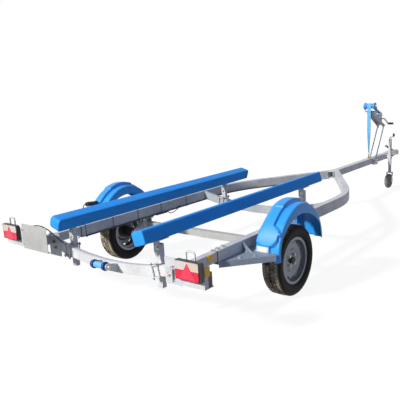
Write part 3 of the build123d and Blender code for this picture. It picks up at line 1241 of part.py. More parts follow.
def jockey_fork():
    """A crown with its king pin, two side arms and the wheel's axle."""
    axle_x = JOCKEY_X - JOCKEY_TRAIL
    inner = JOCKEY_WHEEL_WIDTH / 2 + FORK_GAP
    outer = inner + FORK_WALL
    crown_bottom = JOCKEY_CROWN_Z - JOCKEY_CROWN_WALL
    half = FORK_ARM_WIDTH / 2
    fork = block(JOCKEY_X - half, JOCKEY_X + half, JOCKEY_Y - outer, JOCKEY_Y + outer,
                 crown_bottom, JOCKEY_CROWN_Z)
    fork = fork + upright(JOCKEY_CROWN_Z - CUT_OVER, INNER_BOTTOM + JOCKEY_PLUG, JOCKEY_KING_RADIUS)
    wheel_z = JOCKEY_WHEEL_RADIUS
    for y0, y1 in ((JOCKEY_Y + inner, JOCKEY_Y + outer), (JOCKEY_Y - outer, JOCKEY_Y - inner)):
        arm_plate = side_plate([(JOCKEY_X - half, JOCKEY_CROWN_Z), (JOCKEY_X + half, JOCKEY_CROWN_Z),
                                (JOCKEY_X + half, crown_bottom - FORK_SHOULDER), (axle_x + half, wheel_z),
                                (axle_x - half, wheel_z)], y0, y1)
        fork = fork + arm_plate + rod_y(axle_x, wheel_z, y0, y1, half)
    axle_half = outer + FORK_AXLE_END
    return fork + rod_y(axle_x, wheel_z, JOCKEY_Y - axle_half, JOCKEY_Y + axle_half, JOCKEY_AXLE_RADIUS)


def jockey_wheel():
    """A webbed wheel with a solid rubber tyre."""
    half = JOCKEY_WHEEL_WIDTH / 2
    bore = JOCKEY_AXLE_RADIUS + RUNNING_CLEARANCE
    radius = JOCKEY_WHEEL_RADIUS
    root = radius - JOCKEY_TYRE_DEPTH
    web = half - JOCKEY_WEB_INSET
    flank = ThreePointArc((root + JOCKEY_TYRE_SLOPE, half - JOCKEY_TYRE_LIP),
                          (radius - JOCKEY_SHOULDER, half - JOCKEY_SHOULDER),
                          (radius, JOCKEY_TREAD_WIDTH / 2))
    profile = [(bore, half), (JOCKEY_HUB_RADIUS, half), (JOCKEY_HUB_RADIUS + JOCKEY_HUB_SLOPE, web),
               (root, web), *chords(flank, JOCKEY_TYRE_RUNS)]
    outline = profile + [(r, -y) for r, y in reversed(profile)]
    return turned(polygon(outline, Plane.XY), JOCKEY_X - JOCKEY_TRAIL, JOCKEY_Y, radius)


keep("jockey_outer_tube", jockey_outer())
keep("jockey_inner_tube", jockey_inner())
keep("jockey_clamp", jockey_clamp())
keep("jockey_crank", jockey_crank())
keep("jockey_fork", jockey_fork())
keep("jockey_wheel", jockey_wheel())


LEVER_PIVOT_Z = RAIL_TOP + NECK_WALL


# Ball coupling: a sleeve over the drawbar, a tapering neck and a cupped head
def coupling():
    mid = RAIL_TOP - DRAWBAR_HALF
    outer = DRAWBAR_HALF + NECK_WALL
    sleeve = tube_x(NECK_REAR, DRAWBAR_FRONT, 0, mid, outer * 2, outer * 2, NECK_WALL)
    rear_face = Pos(DRAWBAR_FRONT, 0, mid) * (Plane.YZ * RectangleRounded(outer * 2, outer * 2, NECK_ROUND))
    front_face = Pos(BALL_X - HEAD_RADIUS / 2, 0, (HEAD_BOTTOM + HEAD_TOP) / 2) * (
        Plane.YZ * RectangleRounded(NECK_FRONT_WIDTH, NECK_FRONT_HEIGHT, NECK_FRONT_ROUND))
    neck = loft([rear_face, front_face])
    head = Cylinder(HEAD_RADIUS, HEAD_TOP - HEAD_BOTTOM)
    head = fillet(head.edges().group_by(Axis.Z)[-1], HEAD_ROUND)
    head = Pos(BALL_X, 0, (HEAD_TOP + HEAD_BOTTOM) / 2) * head
    socket = Pos(BALL_X, 0, HEAD_BOTTOM + SOCKET_DEPTH / 2) * Cylinder(
        SOCKET_RADIUS, SOCKET_DEPTH + SOCKET_OVER)
    lug = block(LEVER_PIVOT_X - LEVER_LUG_LENGTH / 2, LEVER_PIVOT_X + LEVER_LUG_LENGTH / 2,
                -LEVER_WIDTH / 2, LEVER_WIDTH / 2, mid, LEVER_PIVOT_Z)
    return sleeve + neck + head + lug - socket


def coupling_lever():
    """A flat lever that rises to the rear, with a round grip."""
    top = (LEVER_PIVOT_X - sqrt(LEVER_LENGTH ** 2 - LEVER_RISE ** 2), LEVER_PIVOT_Z + LEVER_RISE)
    foot = (LEVER_PIVOT_X, LEVER_PIVOT_Z + LEVER_WALL / 2)
    lever = along(foot, top, block(0, LEVER_LENGTH - LEVER_GRIP_LENGTH, -LEVER_WIDTH / 2, LEVER_WIDTH / 2,
                                   -LEVER_WALL / 2, LEVER_WALL / 2))
    grip = Pos(LEVER_LENGTH - LEVER_GRIP_LENGTH / 2, 0, 0) * Rot(0, 90, 0) * Cylinder(
        LEVER_GRIP_RADIUS, LEVER_GRIP_LENGTH)
    return lever + along(foot, top, grip)


keep("coupling_body", coupling())
keep("coupling_lever", coupling_lever())


def wiring_loom():
    """A conduit tied along the inner face of the left rail and round its bend."""
    inset = RAIL_WIDTH / 2 + LOOM_RADIUS + LOOM_GAP
    height = RAIL_BOTTOM + LOOM_RADIUS
    radius = RAIL_BEND_RADIUS - inset
    centre_y = RAIL_Y - RAIL_BEND_RADIUS
    start = (LOOM_REAR, RAIL_Y - inset, height)
    turn = (RAIL_BEND_START, RAIL_Y - inset, height)
    middle = (RAIL_BEND_START + radius * sin(BEND / 2), centre_y + radius * cos(BEND / 2), height)
    end = (RAIL_BEND_START + radius * sin(BEND), centre_y + radius * cos(BEND), height)
    tip = (end[0] + LOOM_FRONT_RUN * cos(BEND), end[1] - LOOM_FRONT_RUN * sin(BEND), height)
    path = Wire([Line(start, turn), ThreePointArc(turn, middle, end), Line(end, tip)])
    return sweep(Plane(origin=start, z_dir=(1, 0, 0)) * Circle(LOOM_RADIUS), path)


keep("wiring_loom", wiring_loom())

os.makedirs("parts", exist_ok=True)
for name, shape in nodes.items():
    export_step(shape, f"parts/{name}.step")
print(len(nodes), "nodes")
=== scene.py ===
# %% [markdown]
# # A boat trailer, dressed in Blender
# The trailer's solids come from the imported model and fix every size. This lesson puts a camera, a floor
# and light round them, gives each surface its finish, and adds the pieces that a maker of solids leaves
# out: tread, moulded mudguards, lamp lenses, bolts, webbing and grips.

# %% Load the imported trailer
import json
from math import cos, pi, radians, sin, sqrt

import bmesh
import bpy
from mathutils import Matrix, Vector


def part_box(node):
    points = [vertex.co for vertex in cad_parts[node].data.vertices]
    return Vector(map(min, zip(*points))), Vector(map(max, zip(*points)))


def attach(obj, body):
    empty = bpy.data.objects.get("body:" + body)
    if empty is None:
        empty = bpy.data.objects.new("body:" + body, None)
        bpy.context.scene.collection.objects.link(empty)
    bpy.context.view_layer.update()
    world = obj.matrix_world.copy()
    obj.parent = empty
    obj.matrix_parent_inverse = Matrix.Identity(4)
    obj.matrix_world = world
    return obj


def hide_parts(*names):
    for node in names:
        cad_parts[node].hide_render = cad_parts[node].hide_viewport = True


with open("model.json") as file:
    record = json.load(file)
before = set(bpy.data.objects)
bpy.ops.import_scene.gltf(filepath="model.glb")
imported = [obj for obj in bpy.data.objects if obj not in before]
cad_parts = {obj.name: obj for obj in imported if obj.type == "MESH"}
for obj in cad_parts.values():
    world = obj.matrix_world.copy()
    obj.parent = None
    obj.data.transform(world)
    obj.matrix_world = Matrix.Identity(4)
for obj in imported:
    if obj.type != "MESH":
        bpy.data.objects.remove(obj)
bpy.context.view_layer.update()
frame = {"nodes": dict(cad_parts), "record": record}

NODES = frame["nodes"]


def middle_of(node):
    """The middle of a solid's box."""
    return Vector([(low + high) / 2 for low, high in zip(*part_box(node))])


AXLE_X, _, AXLE_Z = middle_of("tyre_left")
SIDES = {"left": 1, "right": -1}
LEFT_RIGHT = tuple(SIDES.values())
print("nodes", len(NODES), "axle at", round(AXLE_X, 3), round(AXLE_Z, 3))


def at(x, y, z):
    """A place measured in metres from the point on the ground under the middle of the axle."""
    return Vector((AXLE_X + x, y, z))


# %% [markdown]
# ## The camera
# The picture was taken from behind the trailer on its right, a little above head height, with the horizon
# slightly turned. A camera could be aimed with a Track To constraint; writing its three axes as the
# columns of a matrix keeps the small roll exact.

# %% Camera
YAW, PITCH, ROLL = radians(39.70), radians(-11.68), radians(-3.29)
CAMERA_PLACE = at(-3.418, -2.900, 1.584)
FOCAL_MM, SENSOR_MM, SIGHT_END = 47.9, 36.0, 200.0


def new_object(name, data):
    """An object at the origin, linked into the scene."""
    obj = bpy.data.objects.new(name, data)
    bpy.context.collection.objects.link(obj)
    return obj


forward = Vector((cos(YAW) * cos(PITCH), sin(YAW) * cos(PITCH), sin(PITCH)))
level_right = Vector((sin(YAW), -cos(YAW), 0))
level_up = level_right.cross(forward)
right = cos(ROLL) * level_right + sin(ROLL) * level_up
up = -sin(ROLL) * level_right + cos(ROLL) * level_up
camera_data = bpy.data.cameras.new("camera")
camera_data.lens = FOCAL_MM
camera_data.sensor_width = SENSOR_MM
camera_data.clip_end = SIGHT_END
camera = new_object("camera", camera_data)
axes = Matrix((right, up, -forward)).transposed()
camera.matrix_world = Matrix.Translation(CAMERA_PLACE) @ axes.to_4x4()
bpy.context.scene.camera = camera
print("camera looks along", [round(v, 3) for v in forward])

# %% [markdown]
# ## Shader arithmetic
# A finish is a small formula: a noise times a number, plus a speckle, between two colours. Drawing that
# as nodes by hand is slow to read. The class below wraps one socket, and Python's own operators add the
# Math nodes, so the formulas stay formulas. `node` adds every other kind of node.


# %% A socket that does arithmetic
class Tap:
    """One output of a node; arithmetic on it adds Math nodes to the same tree."""

    def __init__(self, tree, socket):
        self.tree = tree
        self.socket = socket

    def node(self, kind, inputs=None, output=0, **settings):
        """Add a node: its settings first, then the values or links of its sockets."""
        made = self.tree.nodes.new(kind)
        for name, value in settings.items():
            setattr(made, name, value)
        for key, value in (inputs or {}).items():
            if isinstance(value, (Tap, list)):
                for tap in value if isinstance(value, list) else [value]:
                    self.tree.links.new(tap.socket, made.inputs[key])
            else:
                made.inputs[key].default_value = value
        return Tap(self.tree, made.outputs[output])

    def math(self, operation, first, second=0.0, clamp=False):
        return self.node("ShaderNodeMath", {0: first, 1: second}, operation=operation, use_clamp=clamp)

    def __add__(self, other):
        return self.math("ADD", self, other)

    def __radd__(self, other):
        return self.math("ADD", other, self)

    def __sub__(self, other):
        return self.math("SUBTRACT", self, other)

    def __rsub__(self, other):
        return self.math("SUBTRACT", other, self)

    def __mul__(self, other):
        return self.math("MULTIPLY", self, other)

    def __rmul__(self, other):
        return self.math("MULTIPLY", other, self)

    def __truediv__(self, other):
        return self.math("DIVIDE", self, other)

    def clamped(self):
        return self.math("ADD", self, clamp=True)

    def between(self, low, high):
        """0 below low, 1 above high and a smooth ramp between them."""
        return self.node("ShaderNodeMapRange", {"Value": self, "From Min": low, "From Max": high},
                         interpolation_type="SMOOTHSTEP")

    def colour(self, dark, light):
        """This value as a mask between two colours."""
        return self.node("ShaderNodeMix", {0: self, 6: (*dark, 1), 7: (*light, 1)}, 2, data_type="RGBA")

    def vector(self, operation, other=(0, 0, 0), output=0):
        return self.node("ShaderNodeVectorMath", {0: self, 1: other}, output, operation=operation)

    def part(self, axis):
        return self.node("ShaderNodeSeparateXYZ", {0: self}, axis)

    def noise(self, scale, detail, rough=0.55):
        return self.node("ShaderNodeTexNoise", {
            "Vector": self, "Scale": scale, "Detail": detail, "Roughness": rough})

    def cells(self, scale):
        """A random value for each cell of a crystal-like pattern."""
        colour = self.node("ShaderNodeTexVoronoi", {"Vector": self, "Scale": scale}, "Color")
        return colour.node("ShaderNodeSeparateColor", {0: colour})

    def bump(self, strength, depth):
        return self.node("ShaderNodeBump", {"Strength": strength, "Distance": depth, "Height": self})


def new_finish(name, constants, paint):
    """A material whose constants sit on the shader and whose varying inputs come from paint(coords)."""
    material = bpy.data.materials.new(name)
    material.use_nodes = True
    tree = material.node_tree
    shader = tree.nodes["Principled BSDF"]
    for socket, value in constants.items():
        shader.inputs[socket].default_value = value
    coords = Tap(tree, tree.nodes.new("ShaderNodeTexCoord").outputs["Object"])
    for socket, tap in paint(coords).items():
        tree.links.new(tap.socket, shader.inputs[socket])
    return material


# %% [markdown]
# ## Floor, background and light
# The real picture is a cut-out on white. A white world would also wash out the metal, so the world and
# the floor show white to the camera and to reflections only, and give the trailer a softer, slightly blue
# skylight. The floor keeps part of its own shading, so the trailer still casts a shadow on it.

# %% Stage and lamps
WHITE, SKYLIGHT = (1.0, 1.0, 1.0), (0.120, 0.136, 0.235)
FLOOR_HALF, FLOOR_ROUGH = 40.0, 0.9
FLOOR_SEEN, FLOOR_BOUNCE = (0.98, 0.98, 0.98), (0.26, 0.26, 0.25)
FLOOR_GLOW, SHADOW_KEPT = 1.04, 0.12


def seen_directly(tree):
    """1 for camera, glossy and transmission rays, 0 for the rays that carry diffuse light."""
    path = tree.nodes.new("ShaderNodeLightPath")
    camera_ray, glossy, through = (Tap(tree, path.outputs[name]) for name in (
        "Is Camera Ray", "Is Glossy Ray", "Is Transmission Ray"))
    return (camera_ray + glossy + through).clamped()


world = bpy.data.worlds.new("studio")
bpy.context.scene.world = world
world.use_nodes = True
sky = world.node_tree.nodes["Background"]
sky.inputs["Strength"].default_value = 1.0
sky_colour = seen_directly(world.node_tree).colour(SKYLIGHT, WHITE)
world.node_tree.links.new(sky_colour.socket, sky.inputs["Color"])

floor_mesh = bpy.data.meshes.new("floor")
floor_mesh.from_pydata([(x * FLOOR_HALF, y * FLOOR_HALF, 0) for x, y in ((-1, -1), (1, -1), (1, 1), (-1, 1))],
                       [], [(0, 1, 2, 3)])
floor = new_object("floor", floor_mesh)
floor_finish = bpy.data.materials.new("pale_floor")
floor_finish.use_nodes = True
floor_tree = floor_finish.node_tree
floor_shade = floor_tree.nodes["Principled BSDF"]
floor_shade.inputs["Roughness"].default_value = FLOOR_ROUGH
floor_light = seen_directly(floor_tree)
floor_tree.links.new(floor_light.colour(FLOOR_BOUNCE, FLOOR_SEEN).socket, floor_shade.inputs["Base Color"])
floor_glow = floor_light.node("ShaderNodeEmission", {"Color": (*WHITE, 1), "Strength": FLOOR_GLOW})
floor_mix = floor_light.node("ShaderNodeMixShader", {
    0: floor_light * (1 - SHADOW_KEPT), 1: Tap(floor_tree, floor_shade.outputs[0]), 2: floor_glow})
floor_tree.links.new(floor_mix.socket, floor_tree.nodes["Material Output"].inputs["Surface"])
floor_mesh.materials.append(floor_finish)


def add_sun(name, towards, strength, softness, colour):
    """A distant lamp that shines along the vector towards."""
    lamp = bpy.data.lights.new(name, "SUN")
    lamp.energy = strength
    lamp.angle = radians(softness)
    lamp.color = colour
    new_object(name, lamp).rotation_euler = Vector(towards).to_track_quat("-Z", "Y").to_euler()


add_sun("key", towards=(0.80, -0.27, -0.53), strength=4.3, softness=6.0, colour=(1.0, 0.97, 0.93))
add_sun("fill", towards=(0.35, 0.80, -0.42), strength=0.18, softness=40.0, colour=(0.80, 0.86, 1.0))
bpy.context.scene.view_settings.view_transform = "Standard"
print("world, floor and two lamps")

# %% [markdown]
# ## Finishes
# Hot-dip galvanising leaves a skin of zinc crystals: a random value for each cell of a Voronoi pattern
# gives the spangle, and a slow noise gives the dull clouds where the skin has weathered. The mouldings
# are one colour through and through, so only fine grain and handling marks vary their gloss. All patterns
# read Object coordinates, which are the trailer's own metres. An image for each finish would need picture
# files.


# %% Metal finishes
def galvanised(name, dull, bright, metallic=0.06, spangle=70.0):
    def paint(coords):
        cloud = coords.noise(5.0, 4.0)
        crystal = coords.cells(spangle)
        streak = coords.vector("MULTIPLY", (1.0, 1.0, 0.2)).noise(26.0, 3.0)
        mask = (cloud.between(0.30, 0.70) * 0.5 + crystal * 0.3 + streak * 0.25).clamped()
        return {"Base Color": mask.colour(dull, bright),
                "Roughness": 0.36 + (1 - cloud) * 0.22 + crystal * 0.10,
                "Normal": (coords.noise(90.0, 2.0) * 0.6 + crystal * 0.4).bump(0.12, 0.0015)}
    return new_finish(name, {"Metallic": metallic, "Specular IOR Level": 0.2}, paint)


GALVANISED = galvanised("galvanised_zinc", (0.46, 0.48, 0.50), (0.68, 0.70, 0.715))
# Darker, bluish copy for the wing plates: painted shade with a painted sky reflection on their tops.
SHADED_SHEET_ZINC = galvanised("galvanised_sheet_painted_shade", (0.17, 0.22, 0.28), (0.27, 0.32, 0.39), spangle=90.0)
# Lighter copy for the rear crossmember: painted light for its brightly lit rear face.
LIT_TUBE_ZINC = galvanised("galvanised_tube_painted_light", (0.54, 0.555, 0.56), (0.77, 0.78, 0.775))
# Darker copy for the front crossmember: painted shade from the bunks above it.
SHADED_TUBE_ZINC = galvanised("galvanised_tube_painted_shade", (0.31, 0.34, 0.37), (0.46, 0.49, 0.52))
BRIGHT_ZINC = galvanised("bright_galvanised_sheet", (0.36, 0.365, 0.35), (0.52, 0.525, 0.505), 0.12, 120.0)


def plated(name, dark, light):
    """Bright plating gone dull, with small dirt marks."""
    def paint(coords):
        cloud = coords.noise(18.0, 4.0)
        speck = coords.noise(140.0, 2.0).between(0.58, 0.70)
        return {"Base Color": (cloud.between(0.25, 0.75) * (1 - 0.5 * speck)).colour(dark, light),
                "Roughness": 0.30 + cloud * 0.28,
                "Normal": coords.noise(220.0, 2.0).bump(0.08, 0.0008)}
    return new_finish(name, {"Metallic": 0.75}, paint)


PLATED = plated("zinc_plating", (0.22, 0.22, 0.19), (0.52, 0.52, 0.46))
YELLOW_PLATED = plated("yellow_plating", (0.30, 0.25, 0.13), (0.60, 0.51, 0.30))
NUT_DULL = plated("dull_nut_plating", (0.10, 0.10, 0.09), (0.26, 0.26, 0.23))
BOLT_ZINC = plated("bolt_plating", (0.36, 0.36, 0.34), (0.66, 0.66, 0.63))


def wheel_paint(coords):
    dust = coords.noise(14.0, 4.0).between(0.45, 0.75)
    return {"Base Color": (dust * 0.6).colour((0.165, 0.185, 0.215), (0.30, 0.315, 0.335)),
            "Roughness": 0.34 + dust * 0.25,
            "Normal": coords.noise(260.0, 2.0).bump(0.05, 0.0006)}


def dark_iron(coords):
    mark = coords.noise(40.0, 4.0)
    return {"Base Color": mark.colour((0.012, 0.012, 0.013), (0.05, 0.05, 0.052)),
            "Roughness": 0.45 + mark * 0.3,
            "Normal": coords.noise(180.0, 2.0).bump(0.1, 0.001)}


RIM_PAINT = new_finish("rim_silver_paint", {"Metallic": 0.55}, wheel_paint)
HUB_DARK = new_finish("hub_dark_iron", {"Metallic": 0.3}, dark_iron)
print("finishes with metal", len(bpy.data.materials))


# %% Plastic and rubber finishes
def moulded(name, deep, pale, gloss, grain, coat, sheen=0.5):
    """Plastic coloured through, with a fine moulded grain and faint scuffs."""
    def paint(coords):
        scuff = coords.vector("MULTIPLY", (1.0, 1.0, 4.0)).noise(9.0, 5.0).between(0.52, 0.78)
        tone = coords.noise(2.2, 3.0)
        return {"Base Color": (tone * 0.5 + scuff * 0.3).clamped().colour(deep, pale),
                "Roughness": gloss + scuff * 0.14 + coords.noise(60.0, 2.0) * 0.06,
                "Normal": coords.noise(grain, 2.0).bump(0.10, 0.0006)}
    return new_finish(name, {"Coat Weight": coat, "Coat Roughness": 0.15, "Specular IOR Level": sheen}, paint)


BUNK_BLUE = moulded("bunk_blue_cover", (0.028, 0.30, 0.86), (0.054, 0.40, 0.95), 0.52, 420.0, 0.0, 0.10)
GUARD_BLUE = moulded("mudguard_blue_moulding", (0.012, 0.27, 0.74), (0.030, 0.38, 0.87),
                     0.42, 380.0, 0.05, 0.55)
ROLLER_BLUE = moulded("roller_blue_rubber", (0.12, 0.40, 0.78), (0.24, 0.56, 0.88), 0.32, 300.0, 0.1)
BOW_BLUE = moulded("bow_roller_blue_rubber", (0.040, 0.25, 0.66), (0.095, 0.40, 0.84), 0.36, 300.0, 0.1, 0.4)
ROLLER_NAVY = moulded("roller_navy_disc", (0.010, 0.040, 0.22), (0.018, 0.070, 0.32), 0.42, 300.0, 0.0, 0.3)
LAMP_BLACK = moulded("lamp_black_moulding", (0.010, 0.010, 0.011), (0.030, 0.030, 0.032), 0.42, 500.0, 0.0)
TREAD_STARTS, TREAD_DUSTY = 0.262, 0.271


def tyre_rubber(coords):
    """Black side walls; the tread and shoulders carry pale road dust."""
    from_axle = coords.vector("SUBTRACT", (AXLE_X, 0, AXLE_Z)).vector("MULTIPLY", (1, 0, 1))
    tread = from_axle.vector("LENGTH", output="Value").between(TREAD_STARTS, TREAD_DUSTY)
    dust = (coords.noise(16.0, 4.0).between(0.30, 0.60) * tread).clamped()
    fine = coords.noise(120.0, 3.0)
    pale = (dust * (0.45 + 0.5 * fine)).clamped()
    return {"Base Color": pale.colour((0.0045, 0.0045, 0.005), (0.66, 0.57, 0.42)),
            "Roughness": 0.55 + dust * 0.35 + fine * 0.08,
            "Normal": fine.bump(0.15, 0.0008)}


TYRE = new_finish("tyre_rubber", {"Specular IOR Level": 0.12}, tyre_rubber)


def rubber(name, dark, light):
    def paint(coords):
        wear = coords.noise(24.0, 4.0)
        return {"Base Color": wear.between(0.35, 0.75).colour(dark, light),
                "Roughness": 0.55 + wear * 0.3,
                "Normal": coords.noise(150.0, 3.0).bump(0.15, 0.001)}
    return new_finish(name, {}, paint)


JOCKEY_RUBBER = rubber("jockey_rubber", (0.120, 0.116, 0.100), (0.280, 0.270, 0.235))
JOCKEY_WEB = rubber("jockey_web_plastic", (0.16, 0.165, 0.17), (0.28, 0.285, 0.29))
LOOM_BLACK = rubber("loom_conduit", (0.008, 0.008, 0.008), (0.026, 0.026, 0.027))
print("finishes with rubber", len(bpy.data.materials))

# %% Webbing and lens finishes
TWILL_PITCH, TWILL_LEAN = 1500.0, 1.5
STRAP_EDGE, STRAP_RIM, STRAP_DARK, STRAP_PALE = 0.018, 0.022, 0.60, 1.05


def webbing(coords):
    """Flat woven strap: slanting twill lines, darker at its rims and towards its foot."""
    across, along = coords.part(1), coords.part(2)
    twill = along.math("SINE", (along + across * TWILL_LEAN) * TWILL_PITCH)
    rim = across.math("ABSOLUTE", across).between(STRAP_EDGE, STRAP_RIM)
    # The strap is painted darker towards its foot.
    foot_darkening = 1 - along.between(STRAP_DARK, STRAP_PALE)
    tone = (twill * 0.2 + 0.62 + coords.noise(40.0, 3.0) * 0.3 - rim * 0.2 - foot_darkening * 0.55).clamped()
    return {"Base Color": tone.colour((0.045, 0.20, 0.45), (0.17, 0.52, 0.82)),
            "Roughness": 0.75 + tone * 0.15,
            "Normal": twill.bump(0.35, 0.0008)}


STRAP_BLUE = new_finish("woven_strap", {"Sheen Weight": 0.2}, webbing)


def lens_plastic(name, deep, pale, rib_scale):
    """A clear-coated lens over a pattern of fine prisms."""
    def paint(coords):
        ribs, rows = (coords.math("SINE", coords.part(axis) * rib_scale) for axis in (1, 2))
        facet = (ribs * rows * 0.5 + 0.5).clamped()
        return {"Base Color": (facet * 0.7 + coords.noise(30.0, 2.0) * 0.3).clamped().colour(deep, pale),
                "Roughness": 0.12 + facet * 0.12,
                "Normal": facet.bump(0.2, 0.0006)}
    return new_finish(name, {"Coat Weight": 0.15, "Coat Roughness": 0.12, "Specular IOR Level": 0.25}, paint)


LENS_RED = lens_plastic("lens_red", (0.52, 0.006, 0.028), (0.84, 0.024, 0.072), 900.0)
LENS_PINK = lens_plastic("lens_triangle_reflector", (0.60, 0.018, 0.060), (0.84, 0.070, 0.135), 1400.0)
LENS_CLEAR = lens_plastic("lens_clear", (0.48, 0.42, 0.40), (0.72, 0.68, 0.65), 900.0)
LENS_AMBER = lens_plastic("lens_amber", (0.82, 0.40, 0.004), (0.98, 0.62, 0.010), 1100.0)
LENS_PEACH = lens_plastic("lens_clear_amber_tint", (0.54, 0.42, 0.34), (0.68, 0.58, 0.49), 900.0)
print("finishes with lenses", len(bpy.data.materials))

# %% [markdown]
# ## The solids get their finishes
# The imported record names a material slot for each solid, and a short table turns slots into finishes. The
# sharp edges of sawn tube and plate are broken by a small bevel, as grinding and a thick zinc skin break
# them. Weld joins the loose triangles first, and a planar Decimate joins them into whole faces, so the
# bevel meets clean corners.

# %% Assign finishes and break the edges
SLOT_FINISH = {
    "galvanised": GALVANISED, "zinc": PLATED, "bunk_blue": BUNK_BLUE, "guard_blue": GUARD_BLUE,
    "tyre_rubber": TYRE, "rim_silver": RIM_PAINT, "hub_dark": HUB_DARK, "lamp_black": LAMP_BLACK,
    "lens_red": LENS_RED, "amber": LENS_AMBER, "roller_blue": ROLLER_BLUE, "strap_blue": STRAP_BLUE,
    "jockey_rubber": JOCKEY_RUBBER, "loom_black": LOOM_BLACK,
}
# The wing plates and the front crossmember take copies of the galvanised finish with painted shade; the rear
# crossmember takes one with painted light.
OWN_FINISH = {
    "plate_carrier": BRIGHT_ZINC, "axle_tube": BRIGHT_ZINC, "guard_brackets": GUARD_BLUE,
    "post_clamps": GALVANISED, "wing_plate_left": SHADED_SHEET_ZINC, "wing_plate_right": SHADED_SHEET_ZINC,
    "front_crossmember": SHADED_TUBE_ZINC, "rear_crossmember": LIT_TUBE_ZINC, "strap_eye": YELLOW_PLATED,
}
EDGE_MM = {
    5.0: ["drawbar"],
    4.0: ["rail_left", "rail_right", "axle_tube"],
    3.0: ["leg_left", "leg_right", "rear_crossmember", "front_crossmember"],
    2.5: ["bunk_posts"],
    1.5: ["bunk_brackets", "post_clamps", "axle_hangers", "winch_post", "winch_post_clamp"],
    1.2: ["corner_plates", "wing_plate_left", "wing_plate_right", "guard_brackets", "winch_arm"],
    0.8: ["plate_carrier", "winch_frame"],
}
BEVELLED = {node: width / 1000.0 for width, nodes in EDGE_MM.items() for node in nodes}
WELD_GAP, FLAT_ANGLE, SHARP_ANGLE = 0.00002, radians(0.6), radians(40)


def modify(obj, name, kind, **settings):
    modifier = obj.modifiers.new(name, kind)
    for key, value in settings.items():
        setattr(modifier, key, value)


def break_edges(obj, width):
    modify(obj, "weld", "WELD", merge_threshold=WELD_GAP)
    modify(obj, "whole_faces", "DECIMATE", decimate_type="DISSOLVE", angle_limit=FLAT_ANGLE)
    modify(obj, "edge", "BEVEL", width=width, segments=2, limit_method="ANGLE", angle_limit=SHARP_ANGLE)


for row in frame["record"]["subparts"]:
    node = NODES[row["node"]]
    node.data.materials.clear()
    node.data.materials.append(OWN_FINISH.get(row["node"], SLOT_FINISH[row["material_slot"]]))
    if row["node"] in BEVELLED:
        break_edges(node, BEVELLED[row["node"]])
print("finished solids", len(NODES), "with broken edges", len(BEVELLED))

# %% [markdown]
# ## Shaping pieces
# Most of the pieces below are turned, bent or cut from plate. `Shape` gathers points and faces from a few
# such forms, each with the number of its finish, and turns them into one object at the origin, with
# doubled points merged and normals turned outwards. Modifiers could stack the same forms, but a list of
# points is easier to place exactly on the solids.

# %% A gatherer of points and faces
SAME_POINT = 0.00001


def round_steps(count):
    """Equal steps round a circle of radius 1."""
    return [(cos(2 * pi * step / count), sin(2 * pi * step / count)) for step in range(count)]


def settle(obj, body, replaces=()):
    """Ride the piece on its body and hide the solids it stands for."""
    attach(obj, body)
    if replaces:
        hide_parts(*replaces)


